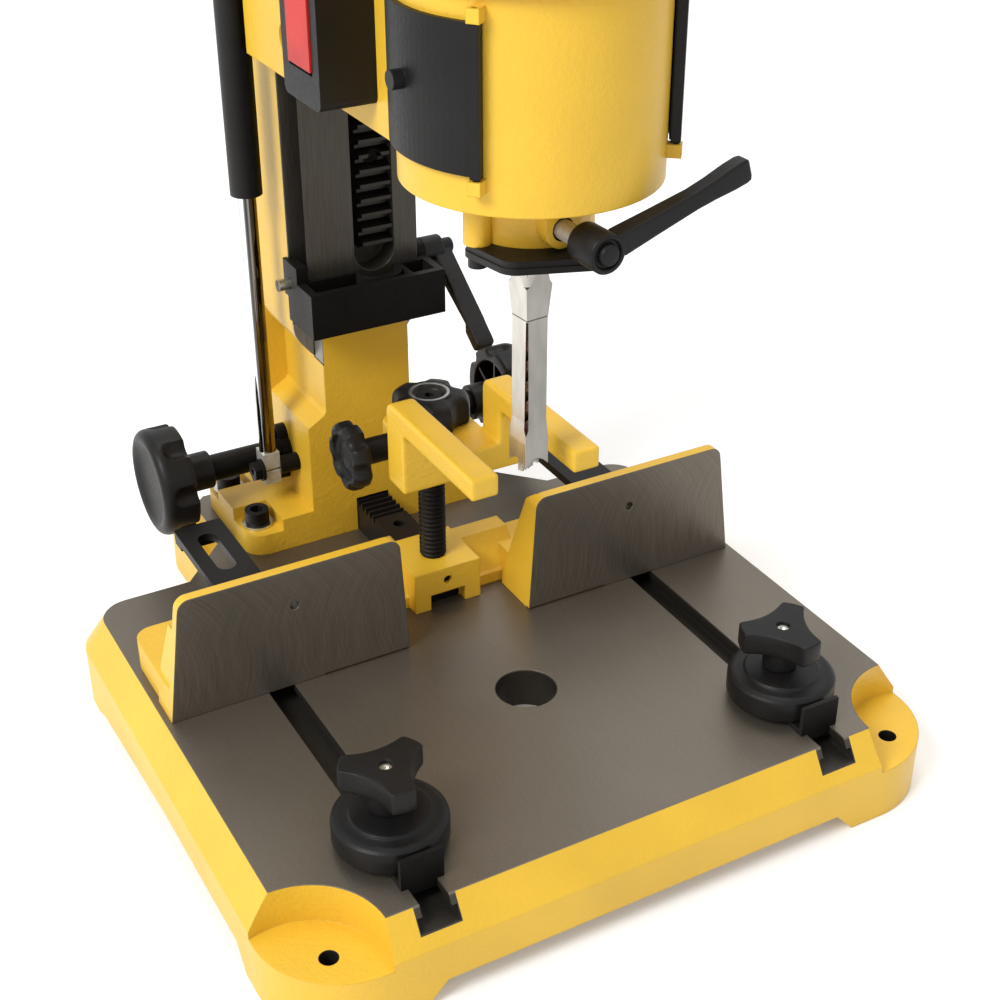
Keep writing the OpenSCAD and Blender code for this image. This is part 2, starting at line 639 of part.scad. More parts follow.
// Fence shaft with its pinion and handwheels
module fence_shaft() color(black) {
    x_cyl(shaft_r, 2 * (wheel_face_x - wheel_t - 12), [-(wheel_face_x - wheel_t - 12), shaft_y, shaft_z]);
    for (s = [-1, 1]) translate([s * (wheel_face_x - wheel_t - 12), shaft_y, shaft_z])
        rotate([0, s * 90, 0]) cylinder(r = shaft_r - 2, h = 28);
}
module fence_pinion() color(steel) difference() {
    translate([0, shaft_y, shaft_z]) rotate([90, 0, 90]) translate([0, 0, -fence_rack_w / 2 + 2])
        linear_extrude(fence_rack_w - 4) rotate(-90) polygon(gear_points(fence_m, fence_teeth));
    x_cyl(shaft_r + run / 4, 60, [-30, shaft_y, shaft_z]);
}
module handwheel() difference() {
    union() {
        x_ext(wheel_t - 6, wheel_face_x - wheel_t) translate([shaft_y, shaft_z])
            lobed(wheel_r, 7, 8, 4.6, 90);
        x_ext(6, wheel_face_x - 6) translate([shaft_y, shaft_z]) lobed(wheel_r - 2.5, 7, 8, 3.4, 90);
        x_cyl(shaft_r + 4, 20, [wheel_face_x - wheel_t - 20, shaft_y, shaft_z]);
    }
    // dished outer face and hollow back
    translate([wheel_face_x - 3, shaft_y, shaft_z]) rotate([0, 90, 0])
        cylinder(r1 = wheel_r - 14, r2 = wheel_r - 6, h = 3 + eps);
    difference() {
        x_cyl(wheel_r - 9, 14, [wheel_face_x - wheel_t - 1, shaft_y, shaft_z]);
        x_cyl(shaft_r + 4, 30, [wheel_face_x - wheel_t - 2, shaft_y, shaft_z]);
        for (a = [0 : 60 : 300]) translate([wheel_face_x - wheel_t, shaft_y, shaft_z]) rotate([a, 0, 0])
            box([0, -1.5, 0], [20, 1.5, wheel_r - 4]);
    }
    x_cyl(shaft_r - 2 + run / 4, 40, [wheel_face_x - wheel_t - 12 - 0.2, shaft_y, shaft_z]);
    x_cyl(shaft_r + run / 4, 9, [wheel_face_x - wheel_t - 21, shaft_y, shaft_z]);
    y_cyl(3, 20, [wheel_face_x - wheel_t - 8, shaft_y - 20, shaft_z]);
}
module right_handwheel() color(black) handwheel();
module left_handwheel() color(black) mirror([1, 0, 0]) handwheel();

// Fence: two ground faces, end ribs, foot and the centre block for the post, in one casting
module wing_outline() {
    r = 8;
    a = [fence_inner, 0.15];
    b = [fence_inner + fence_lean_inner, fence_h];
    c = [fence_outer - fence_lean_outer, fence_h];
    d = [fence_outer, 0.15];
    difference() {
        polygon([a, b, c, d]);
        translate([b.x - 1, b.y - r]) square([r + 1, r + 1]);
        translate([c.x - r, c.y - r]) square([r + 3, r + 1]);
    }
    intersection() {
        polygon([a, b, c, d]);
        union() {
            translate([b.x + r - 0.5, b.y - r]) circle(r);
            translate([c.x - r + 1, c.y - r]) circle(r);
        }
    }
}
module wing() difference() {
    union() {
        intersection() {
            y_ext(fence_foot_rear - fence_y, fence_y) wing_outline();
            union() {
                box([0, fence_y, 0], [fence_outer, fence_y + fence_t, fence_h]);
                x_ext(9, fence_inner) polygon([[fence_y, 0], [fence_y, fence_h], [fence_y + fence_t, fence_h],
                    [fence_y + 14, fence_h - 6], [fence_y + 38, 9], [fence_y + 38, 0]]);
                x_ext(22, fence_outer - 22) polygon([[fence_y, 0], [fence_y, fence_h],
                    [fence_y + fence_t + 1, fence_h], [fence_y + 25, fence_foot_h + 3], [fence_y + 25, 0]]);
            }
        }
        translate([0, 0, 0.15]) linear_extrude(fence_foot_h - 0.15)
            round_rect([fence_inner + 6, fence_y + 1], [fence_outer - 1.5, fence_foot_rear], 12);
        // seat of the slotted arm
        box([slot_x - arm_w / 2, fence_y + 2, fence_foot_h - 1], [slot_x + arm_w / 2, fence_y + 45, arm_z]);
    }
    // hollow under the foot
    box([fence_inner + 20, fence_y + 16, -1], [slot_x - arm_w / 2, fence_foot_rear - 9, fence_foot_h - 9]);
    box([slot_x + arm_w / 2, fence_y + 16, -1], [fence_outer - 30, fence_foot_rear - 9, fence_foot_h - 9]);
    // relief behind the end rib
    box([fence_outer - 30, fence_y + fence_t, fence_foot_h], [fence_outer - 9, fence_foot_rear, fence_h + 1]);
    // undercut along the inner bottom edge, the facing hole and the arm screw holes
    box([fence_inner - 1, fence_y - 1, -1], [fence_inner + 60, fence_y + 4, 1.2]);
    y_cyl(facing_hole_r, fence_t + 2, [slot_x - 12.5, fence_y - 1, facing_hole_z]);
    for (y = [16, 36]) z_cyl(screw_r + run, 30, [slot_x, fence_y + y, arm_z - 16]);
}
module fence_casting() color(paint) difference() {
    union() {
        mirrored() {
            wing();
            // bridge wall from the centre block to the wing, its front face sloping back
            x_ext(fence_inner + 16 - block_half_w + 1, block_half_w - 1) polygon([
                [block_y + 9.6, 0.15], [block_y + 9.6, 8], [block_y + 12, 9.5], [block_y + 29, block_h],
                [fence_foot_rear, block_h], [fence_foot_rear, 0.15]]);
        }
        box([-block_half_w, block_y, 0.15], [block_half_w, fence_foot_rear + 4, block_h]);
    }
    box([-fence_rack_w / 2 - 0.9, block_y - 1, -1], [fence_rack_w / 2 + 0.9, fence_rack_front - slide, 11.4]);
    box([-fence_rack_w / 2 - 0.1, fence_rack_front - slide - eps, -1],
        [fence_rack_w / 2 + 0.1, fence_foot_rear + 5, fence_rack_h + 0.1]);
    z_cyl(post_r - 0.95 + run, block_h, [0, post_y, fence_rack_h - 1]);
    y_cyl(screw_r + run, post_y - block_y, [0, block_y - 1, block_h - 9.5]);
    x_cyl(screw_r + run, 80, [-block_half_w - 4, post_y + 18, 12]);
}
module fence_rack() color(black) difference() {
    union() {
    x_ext(fence_rack_w, -fence_rack_w / 2) {
        translate([shaft_y, fence_rack_h - fence_m])
            rack_outline(fence_m, teeth_front - shaft_y, fence_rack_rear - shaft_y, fence_rack_h - fence_m - 0.15);
    }
    x_ext(fence_rack_w, -fence_rack_w / 2) translate([fence_rack_front, 0.15])
        square([teeth_front - fence_rack_front + 0.5, fence_rack_h - 0.15]);
    }
    z_cyl(4, 14, [0, teeth_front - 13, fence_rack_h - 13]);
    x_cyl(screw_r + run, 80, [-40, post_y + 18, 12]);
}
module slotted_arm() difference() {
    union() {
        translate([0, 0, arm_z]) linear_extrude(arm_t)
            round_rect([slot_x - arm_w / 2, fence_y + fence_t + 0.2], [slot_x + arm_w / 2, arm_rear], 2.5);
        box([slot_x - arm_w / 2 + 0.5, arm_rear - 13, arm_z - 4], [slot_x + arm_w / 2 - 0.5, arm_rear - 1, arm_z + 1]);
    }
    translate([0, 0, arm_z - 6]) linear_extrude(arm_t + 8)
        round_rect([slot_x - 6.5, arm_rear - 63], [slot_x + 6.5, arm_rear - 15], 6.49);
    for (y = [16, 36]) z_cyl(screw_r + run, 30, [slot_x, fence_y + y, arm_z - 5]);
}
module right_slotted_arm() color(black) slotted_arm();
module left_slotted_arm() color(black) mirror([1, 0, 0]) slotted_arm();
module fence_screws() color(black) {
    mirrored() for (y = [16, 36]) translate([slot_x, fence_y + y, arm_top]) cap_screw(screw_r, arm_t + 14);
    y_cyl(screw_r, fence_rack_front - block_y - 3.3, [0, block_y + 3, block_h - 9.5]);
    x_cyl(screw_r, 2 * block_half_w, [-block_half_w, post_y + 18, 12]);
}
module holddown_post() color(black) difference() {
    union() {
        z_cyl(post_r - 0.95, block_h - fence_rack_h + 1, [0, post_y, fence_rack_h]);
        translate([0, post_y, block_h + 0.2]) threaded(post_r, post_top - block_h - 0.2, post_pitch, 0.95);
    }
    // keyway that the side lock screw presses on
    box([-post_r - 1, post_y - 2.2, block_h + 4], [-post_r + 1.1, post_y + 2.2, post_top + 1]);
    translate([0, post_y, post_top - 4]) cylinder(r = 3.2, h = 6, $fn = 6);
}

// Hold-down: fork that straddles the chisel, carried up and down by the star knob
hold_bore = post_r + slide;
module holddown_casting() color(paint) difference() {
    union() {
        box([-hold_half_w, bridge_y, hold_bottom], [hold_half_w, bridge_y + 23, hold_bottom + bridge_h]);
        translate([0, 0, hold_bottom]) linear_extrude(bridge_h)
            round_rect([-block_half_w - 2, bridge_y + 10], [block_half_w + 2, post_y + 23], 10);
        mirrored() {
            x_ext(hold_arm_w, hold_half_w - hold_arm_w) difference() {
                polygon([[bridge_y, hold_bottom], [bridge_y, hold_top - hold_arm_h - 3],
                    [bridge_y - 3, hold_top - hold_arm_h], [-hold_front, hold_top - hold_arm_h],
                    [-hold_front, hold_top], [bridge_y + 23, hold_top], [bridge_y + 23, hold_bottom]]);
                difference() {
                    translate([bridge_y + 17, hold_top - 6]) square(8);
                    translate([bridge_y + 17, hold_top - 6]) circle(6);
                }
            }
        }
    }
    z_cyl(hold_bore, bridge_h + 2, [0, post_y, hold_bottom - 1]);
    x_cyl(4 + run, 80, [-80, post_y, lock_z]);
}
module holddown_knob() color(black) difference() {
    union() {
        translate([0, post_y, star_z + slide]) linear_extrude(star_h - 5) lobed(star_r, 5, 12, 5, 10);
        translate([0, post_y, star_z + star_h - 5]) linear_extrude(3.5) lobed(star_r - 2, 5, 12, 4, 10);
        z_cyl(star_r - 9, star_h - slide, [0, post_y, star_z + slide]);
    }
    z_cyl(post_r + slide, star_h + 2, [0, post_y, star_z - 1]);
    z_cyl(post_r + 4.3, 6, [0, post_y, star_z + star_h - 4]);
}
module knob_ring() color(zinc) difference() {
    z_cyl(post_r + 4.2, 3.4, [0, post_y, star_z + star_h - 4]);
    z_cyl(post_r + 2.2, 5, [0, post_y, star_z + star_h - 5]);
}
lock_out = block_half_w + 2;
module holddown_lock_knob() color(black) {
    x_cyl(8.5, 23, [-lock_out - 23.3, post_y, lock_z]);
    x_cyl(4, lock_out - post_r + 23 - 0.3, [-lock_out - 23.3, post_y, lock_z]);
    difference() {
        x_ext(13, -lock_out - 36) translate([post_y, lock_z]) lobed(lock_r, 6, 7, 4, 0);
        translate([-lock_out - 36 - eps, post_y, lock_z]) rotate([0, 90, 0])
            cylinder(r1 = lock_r - 5, r2 = lock_r - 9, h = 2.5);
    }
}

// Hold-in: a guide in the T-slot, an eccentric wheel and a three-lobed knob on one bolt
module guide_bracket() difference() {
    union() {
        box([slot_x - 13, tab_y, 0.15], [slot_x + 13, -clamp_y + 24, 4]);
        box([slot_x - 13, tab_y - 3, 0.15], [slot_x + 13, tab_y, 20]);
        box([slot_x - slot_neck_w / 2 + slide, tab_y - 3, -slot_neck_h + 0.6],
            [slot_x + slot_neck_w / 2 - slide, -clamp_y + 24, 1]);
    }
    z_cyl(5 + run, 30, [slot_x, -clamp_y, -10]);
}
module clamp_bolt() {
    z_cyl(5, lobe_top - 5 + slot_depth - 1, [slot_x, -clamp_y, -slot_depth + 1]);
    difference() {
        z_cyl(3.6, 3, [slot_x, -clamp_y, lobe_top - 5]);
        translate([slot_x, -clamp_y, lobe_top - 3.5]) cylinder(r = 2, h = 3, $fn = 6);
    }
    box([slot_x - slot_foot_w / 2 + 0.6, -clamp_y - 10, -slot_depth + 0.3],
        [slot_x + slot_foot_w / 2 - 0.6, -clamp_y + 10, -slot_neck_h - 0.5]);
}
module hold_in_wheel() difference() {
    translate([slot_x, -clamp_y + roller_offset, wheel_z]) {
        z_cyl(roller_r - 1.5, 1.5, [0, 0, 0]);
        z_cyl(roller_r, roller_h - 4, [0, 0, 1.5]);
        translate([0, 0, roller_h - 2.5]) cylinder(r1 = roller_r, r2 = roller_r - 3, h = 2.5);
        z_cyl(roller_r - 11, roller_h + 2, [0, 0, 0]);
    }
    z_cyl(5 + 2 * run, 60, [slot_x, -clamp_y, 0]);
}
module clamp_knob(phase) difference() {
    union() {
        z_cyl(11, lobe_top - lobe_h - wheel_z - roller_h - 2.3 + 1,
            [slot_x, -clamp_y, wheel_z + roller_h + 2.3]);
        translate([slot_x, -clamp_y, lobe_top - lobe_h]) linear_extrude(lobe_h) rotate(phase) difference() {
            circle(lobe_r);
            for (a = [0 : 120 : 240]) rotate(a) translate([-46 * lobe_r / 26.5, 0]) circle(34 * lobe_r / 26.5);
        }
    }
    z_cyl(5 + run, lobe_top, [slot_x, -clamp_y, 0]);
    z_cyl(5.6, 8, [slot_x, -clamp_y, lobe_top - 6]);
}
module right_guide_bracket() color(black) guide_bracket();
module left_guide_bracket() color(black) mirror([1, 0, 0]) guide_bracket();
module right_clamp_bolt() color(zinc) clamp_bolt();
module left_clamp_bolt() color(zinc) mirror([1, 0, 0]) clamp_bolt();
module right_wheel() color(black) hold_in_wheel();
module left_wheel() color(black) mirror([1, 0, 0]) hold_in_wheel();
module right_clamp_knob() color(black) clamp_knob(38);
module left_clamp_knob() color(black) mirror([1, 0, 0]) clamp_knob(150);

// Depth stop: a block that straddles the way, clamped by a lever
stop_top = stop_z + stop_h;
stop_screw_y = land_y - 4.6;
stop_screw_z = stop_top - 4.5;
stop_left_w = stop_half_w + 1.5;
stop_axis_z = stop_top - 0.3;
stop_boss_r = 9;
module stop_block() color(black) difference() {
    union() {
        box([-stop_left_w, stop_y, stop_z], [stop_half_w, land_y - 2, stop_top]);
        x_cyl(stop_boss_r, stop_half_w - way_half_w - 1, [way_half_w + 1, stop_screw_y, stop_axis_z]);
        // tab behind the left wing that holds the adjusting screw
        box([-stop_left_w, way_y - 3, stop_z + 17], [-way_half_w - 1, land_y - 0.4 + 4, stop_top + 11]);
    }
    // dovetail passage
    translate([0, 0, stop_z - 1]) linear_extrude(stop_h + 20) polygon([[-way_half_w - slide, way_y - slide],
        [-way_root_half_w - slide, land_y + 10], [way_root_half_w + slide, land_y + 10],
        [way_half_w + slide, way_y - slide]]);
    box([-body_half_w - slide, land_y - slide, stop_z - 1], [body_half_w + slide, land_y + 10, stop_top + 20]);
    // open pockets behind the front wall, parted by the web round the rack groove
    difference() {
        box([-stop_left_w + 6, stop_y + 5, stop_z + 6], [stop_half_w - 5, way_y - 3.2, stop_top + 1]);
        z_cyl(16, stop_h, [head_rack_x - 3, way_y - 4, stop_z]);
        box([head_rack_x + 11.5, stop_y, stop_z], [head_rack_x + 14.5, way_y, stop_top]);
    }
    z_cyl(12.5, stop_h + 2, [head_rack_x - 3, way_y - 1, stop_z + 6]);
    x_cyl(4 + run, 30, [-stop_left_w - 10, stop_screw_y, stop_screw_z]);
    x_cyl(4 + run, 30, [way_root_half_w + 4, stop_screw_y, stop_axis_z]);
}
module stop_screw() color(zinc) x_cyl(4, stop_left_w + 3 - way_root_half_w,
    [-stop_left_w - 8, stop_screw_y, stop_screw_z]);
// Ratchet lever: eye, waist and widening arm; drawn along -z from its eye at the origin, axis +x
module ratchet_lever(len, eye_r, tip_half, thick) {
    x_ext(thick, -thick / 2) difference() {
        union() {
            circle(eye_r);
            polygon([[-eye_r * 0.72, -2], [-tip_half, -len + tip_half], [tip_half, -len + tip_half],
                [eye_r * 0.72, -2]]);
            translate([0, -len + tip_half]) circle(tip_half);
        }
    }
}
// Hub with a stepped end, and an arm hollowed underneath up to a lip at its tip
module stop_lever() color(black) translate([0, stop_screw_y, stop_axis_z]) {
    x_cyl(4, stop_half_w - way_root_half_w - 5, [way_root_half_w + 9, 0, 0]);
    x_cyl(stop_boss_r, 14, [stop_half_w + 0.3, 0, 0]);
    x_cyl(0.6 * stop_boss_r, 23, [stop_half_w + 1, 0, 0]);
    rotate([-54, 0, 0]) x_ext(13.3, stop_half_w + 8) polygon([[-4, 0], [-4, 3 - stop_lever_len],
        [-2.4, -stop_lever_len], [3.6, -stop_lever_len], [5.4, 2.5 - stop_lever_len], [5.4, 16 - stop_lever_len],
        [0, 20 - stop_lever_len], [3.7, -34], [6.4, -8], [6.4, 0]]);
}

// Head: nose, chuck housing, arm and dovetailed carriage in one casting
module nose_outline() {
    circle(nose_r);
    for (p = plate_screws) translate(p) circle(7.5);
}
clamp_boss_r = 10.5;
module head_casting() color(paint) difference() {
    union() {
        translate([0, 0, nose_z]) linear_extrude(nose_h + 12) nose_outline();
        rotate(clamp_angle) {
            y_cyl(clamp_boss_r, clamp_face, [clamp_off, -clamp_face, clamp_z]);
            box([clamp_off - clamp_boss_r, -clamp_face, clamp_z], [clamp_off + clamp_boss_r, 0, housing_z + 5]);
        }
        z_cyl(housing_r, housing_h, [0, 0, housing_z]);
        box([-44, 20, housing_z], [44, carriage_y + 10, housing_top]);
        box([-carriage_half_w, carriage_y, carriage_z], [carriage_half_w, land_y - slide, carriage_top]);
        z_cyl(motor_r, 10, [0, 0, housing_top - 10]);
        mirrored() rotate(-door_from) for (z = [housing_z + 12, housing_top - 23.5])
            box([housing_r - 2, -3.4, z], [door_r + 3.4, 3.4, z + 7]);
        // lug for the top of the gas strut
        box([-strut_x - 12, land_y - 46, carriage_top - 12], [-body_half_w - 5, strut_y + 12, carriage_top]);
    }
    // chuck chamber, its two side windows and the bore to the nose
    z_cyl(housing_r - housing_wall, housing_h - housing_wall - 12, [0, 0, housing_z + 12]);
    mirrored() intersection() {
        box([20, -39, housing_z + 26], [housing_r + 5, 39, housing_top - 30]);
        z_cyl(housing_r + 5, housing_h, [0, 0, housing_z]);
    }
    z_cyl(bearing_r + run / 4, 40, [0, 0, housing_top - 12]);
    z_cyl(13, 50, [0, 0, housing_top - 40]);
    z_cyl(shank_r + run, nose_plate_t + nose_h + 13, [0, 0, plate_z]);
    // bore for the clamp screw that pinches the chisel shank
    rotate(clamp_angle) y_cyl(clamp_screw_r + 0.7, 2 * nose_r, [clamp_off, -2 * nose_r, clamp_z]);
    // female dovetail with room for the gib on the right, and the pinion's pocket
    translate([0, 0, carriage_z - 1]) linear_extrude(carriage_h + 2) polygon([
        [-way_x(way_y - slide) - slide, way_y - slide], [-way_x(land_y + 1) - slide, land_y + 1],
        [way_x(land_y + 1) + gib_t + slide, land_y + 1], [way_x(way_y - slide) + gib_t + slide, way_y - slide]]);
    x_cyl(head_rp + head_m + 2, head_rack_w + 4, [head_rack_x - head_rack_w / 2 - 2, feed_y, feed_z]);
    x_cyl(feed_shaft_r + run, 2 * carriage_half_w + 2, [-carriage_half_w - 1, feed_y, feed_z]);
    // core holes that lighten the carriage
    mirrored() for (z = [carriage_z + 24, carriage_top - 24])
        x_cyl(9, carriage_half_w - 30, [40, carriage_y + 22, z]);
    for (z = gib_screw_heights) x_cyl(screw_r + run, 60, [way_root_half_w + gib_t, land_y - 8, z]);
    z_cyl(5 + run, 30, [-strut_x, strut_y, carriage_top - 20]);
    mirrored() rotate(-door_from) z_cyl(1.6 + run, housing_h - 26, [door_r, 0, housing_z + 11]);
    for (p = plate_screws) z_cyl(screw_r + run, 20, [p.x, p.y, plate_z]);
    for (a = [45 : 90 : 315]) rotate(a) z_cyl(screw_r + run, 14, [motor_r - 9, 0, housing_top - 12]);
}
clamp_screw_r = 5.4;
clamp_lever_len = 92;
clamp_lever_lift = 17.5;
clamp_hub_len = 22.3;
clamp_hub_r = 10.6;
bearing_r = 20;
feed_shaft_r = 10;
gib_screw_heights = [carriage_z + 20, carriage_z + 55, carriage_top - 45, carriage_top - 15];
module gib() color(steel) translate([0, 0, carriage_z + 2]) linear_extrude(carriage_h - 4) polygon([
    [way_x(way_y + 0.6) + slide, way_y + 0.6], [way_x(land_y - 0.8) + slide, land_y - 0.8],
    [way_x(land_y - 0.8) + gib_t + slide / 2, land_y - 0.8], [way_x(way_y + 0.6) + gib_t + slide / 2, way_y + 0.6]]);
module head_screws() color(black) {
    for (p = plate_screws) translate([p.x, p.y, plate_z]) rotate([180, 0, 0]) cap_screw(screw_r, nose_plate_t + 10);
    for (z = gib_screw_heights) translate([carriage_half_w, land_y - 8, z]) rotate([0, 90, 0])
        cap_screw(screw_r, carriage_half_w - way_half_w - gib_t + 2);
}
// Lobes joined by the straight lines that touch them
function lobe_touch(a, b, grow) = let (w = [b.x - a.x, b.y - a.y],
    t = atan2(w.y, w.x) - acos((a.z - b.z) / norm(w)), n = [cos(t), sin(t)])
    [[a.x, a.y] + (a.z + grow - 0.02) * n, [b.x, b.y] + (b.z + grow - 0.02) * n];
module plate_outline(grow) {
    for (p = plate_lobes) translate([p.x, p.y]) circle(p.z + grow);
    polygon([for (i = [0 : 4]) each lobe_touch(plate_lobes[i], plate_lobes[(i + 1) % 5], grow)]);
}
module nose_plate() color(black) difference() {
    translate([0, 0, plate_z]) {
        linear_extrude(nose_plate_t / 2) plate_outline(0);
        linear_extrude(nose_plate_t) plate_outline(-0.8);
    }
    z_cyl(shank_r + run, nose_plate_t + 2, [0, 0, plate_z - 1]);
    for (p = plate_screws) z_cyl(screw_r + run, 30, [p.x, p.y, plate_z - 1]);
}
// Square hollow chisel, slotted on one corner, flaring to a round shank held in the nose
module square_bar(half, from, to) translate([-half, -half, from]) cube([2 * half, 2 * half, to - from]);
chisel_turn = 5.8;
module hollow_chisel() color(steel) rotate(chisel_turn) difference() {
    union() {
        square_bar(chisel_w / 2, chisel_tip_z + 27, chisel_shoulder_z + eps);
        hull() {
            square_bar(chisel_tip_w / 2, chisel_tip_z, chisel_tip_z + 16);
            square_bar(chisel_w / 2, chisel_tip_z + 28, chisel_tip_z + 29);
        }
        intersection() {
            hull() {
                square_bar(chisel_w / 2 + 0.15, chisel_shoulder_z, chisel_shoulder_z + 1);
                square_bar(shank_r - 0.3, chisel_shoulder_z + 27, chisel_shoulder_z + 28);
                square_bar(shank_r + 0.2, plate_z + 2, plate_z + 3);
            }
            union() {
                z_cyl(60, chisel_turned_z - chisel_shoulder_z - 3, [0, 0, chisel_shoulder_z]);
                translate([0, 0, chisel_turned_z - 3]) cylinder(r1 = shank_r + 7, r2 = shank_r + 1.2, h = 6);
                translate([0, 0, chisel_turned_z + 3 - eps]) cylinder(r1 = shank_r + 1.2, r2 = shank_r, h = 6);
                z_cyl(shank_r, 60, [0, 0, chisel_turned_z + 8]);
            }
        }
        z_cyl(shank_r, 40, [0, 0, plate_z - 3]);
    }
    z_cyl(chisel_bore_r, 200, [0, 0, chisel_tip_z - 1]);
    translate([0, 0, chisel_tip_z - 8]) cylinder(r1 = chisel_tip_w, r2 = chisel_bore_r, h = 16);
    // chip slot on the left front corner, wider and pointed at its foot
    rotate(45) translate([-20, 0, 0]) rotate([90, 0, 90]) linear_extrude(20) polygon([[0, chisel_tip_z + 20.5],
        [1.25, chisel_tip_z + 24], [0.7, chisel_shoulder_z - 1], [-0.7, chisel_shoulder_z - 1],
        [-1.25, chisel_tip_z + 24]]);
}
chisel_turned_z = chisel_shoulder_z + 17.5;

// Direct-drive motor above the housing
module motor_body() color(paint) difference() {
    union() {
        z_cyl(motor_r, 12, [0, 0, housing_top]);
        z_cyl(motor_r - 6, motor_h, [0, 0, housing_top]);
        z_cyl(motor_r - 4.05, cover_lap + 1, [0, 0, motor_top - cover_lap - 1]);
        for (a = [0 : 12 : 348]) rotate(a) box([motor_r - 8, -1.3, housing_top + 6],
            [motor_r, 1.3, motor_top - cover_lap - 3]);
        box([-28, motor_r - 12, housing_top + 60], [28, motor_r + 18, housing_top + 130]);
    }
    z_cyl(motor_r - 12, motor_h - 20, [0, 0, housing_top + 10]);
    z_cyl(bearing_r + run / 4, motor_h + 2, [0, 0, housing_top - 1]);
    for (a = [45 : 90 : 315]) rotate(a) z_cyl(screw_r + run, 14, [motor_r - 9, 0, housing_top - 1]);
    y_cyl(6, 40, [0, motor_r - 20, housing_top + 72]);
}
module motor_stator() color(iron) difference() {
    z_cyl(motor_r - 12.1, stator_h, [0, 0, stator_z]);
    z_cyl(motor_r - 40, stator_h + 2, [0, 0, stator_z - 1]);
}
stator_h = motor_h - 100;
stator_z = housing_top + 45;
module motor_bearings() color(steel) for (z = [housing_top - 12, motor_top - 12]) difference() {
    z_cyl(bearing_r, 12, [0, 0, z]);
    z_cyl(spindle_r + run / 4, 20, [0, 0, z - 2]);
}
spindle_r = 9;
module fan_cover() color(black) difference() {
    z_cyl(motor_r - 1, fan_cover_h + cover_lap, [0, 0, motor_top - cover_lap]);
    z_cyl(motor_r - 4, fan_cover_h - 3 + cover_lap + 1, [0, 0, motor_top - cover_lap - 1]);
    for (r = [14 : 11 : motor_r - 20]) for (q = [0 : 90 : 270]) rotate(q + 8) translate([0, 0, motor_top])
        rotate_extrude(angle = 74) translate([r, 0]) square([5, fan_cover_h + 2]);
    for (a = [0 : 15 : 345]) rotate(a) box([motor_r - 8, -2, motor_top + 10], [motor_r + 2, 2, motor_top + 30]);
}
module cooling_fan() color(black) difference() {
    union() {
        z_cyl(14, 20, [0, 0, motor_top + 8]);
        z_cyl(motor_r - 18, 2, [0, 0, motor_top + 8]);
        for (a = [0 : 45 : 315]) rotate(a) box([12, -1, motor_top + 9], [motor_r - 18, 1, motor_top + 26]);
    }
    z_cyl(spindle_r + run / 4, 40, [0, 0, motor_top]);
}
module spindle() color(steel) {
    z_cyl(spindle_r, motor_top + 26 - housing_top + 14, [0, 0, housing_top - 14]);
    z_cyl(motor_r - 42, stator_h - 6, [0, 0, stator_z + 3]);
    translate([0, 0, housing_top - 32]) cylinder(r1 = 7, r2 = 8.2, h = 20);
}
chuck_z = housing_top - 84;
module drill_chuck() color(steel) difference() {
    union() {
        translate([0, 0, chuck_z]) cylinder(r1 = 12, r2 = 18, h = 14);
        z_cyl(21.5, 32, [0, 0, chuck_z + 14]);
        z_cyl(18, 22, [0, 0, chuck_z + 46]);
        for (a = [0 : 120 : 240]) rotate(a) box([2.4, -2.5, chuck_z - 7], [7, 2.5, chuck_z + 6]);
    }
    translate([0, 0, housing_top - 32]) cylinder(r1 = 7 + run, r2 = 8.2 + run, h = 20);
    z_cyl(8, 20, [0, 0, housing_top - 32 - 19]);
    z_cyl(bit_shank_r + run / 4, 60, [0, 0, chuck_z - 10]);
    for (a = [30 : 120 : 270]) rotate(a) x_cyl(3.5, 12, [14, 0, chuck_z + 55]);
}
bit_shank_r = 5;
flute_top = chisel_tip_z + 0.85 * chisel_len;
module auger_bit() color(steel) {
    z_cyl(bit_shank_r, chuck_z + 20 - flute_top, [0, 0, flute_top]);
    translate([0, 0, chisel_tip_z + 4]) linear_extrude(flute_top - chisel_tip_z - 3, twist = -1080, slices = 54)
        difference() {
        circle(bit_r, $fn = 12);
        for (s = [-1, 1]) translate([s * bit_r * 0.86, s * 1.2]) circle(bit_r * 0.66, $fn = 8);
    }
    translate([0, 0, chisel_tip_z - 5]) cylinder(r1 = 0.6, r2 = 2.6, h = 11);
    for (s = [0, 180]) rotate(s + 20) difference() {
        box([0, -1.6, chisel_tip_z - 3.5], [bit_r + 1.6, 1.6, chisel_tip_z + 3.5]);
        box([2.5, -2, chisel_tip_z - 4.5], [bit_r - 0.2, 2, chisel_tip_z - 1]);
    }
}
// Curved doors over the windows, each swinging on a pin through the housing's two lugs
door_from = 39;
door_r = housing_r + 4.2;
module chuck_door() {
    from = 1.5 - door_from;
    step = (2 * door_from - 4.5) / 22;
    translate([0, 0, housing_z + 20]) linear_extrude(housing_h - 44) polygon(concat(
        [for (i = [0 : 22]) (housing_r + 3.5) * [cos(from + i * step), sin(from + i * step)]],
        [for (i = [22 : -1 : 0]) (housing_r + 0.5) * [cos(from + i * step), sin(from + i * step)]]));
    x_cyl(5, 8, [housing_r + 2, 0, housing_z + housing_h / 2]);
    rotate(-door_from) {
        translate([door_r - 2.6, -2.5, housing_z + 20]) cube([5.2, 5, housing_h - 44]);
        z_cyl(1.6, housing_h - 30, [door_r, 0, housing_z + 13]);
    }
}
module right_chuck_door() color(black) chuck_door();
module left_chuck_door() color(black) mirror([1, 0, 0]) chuck_door();

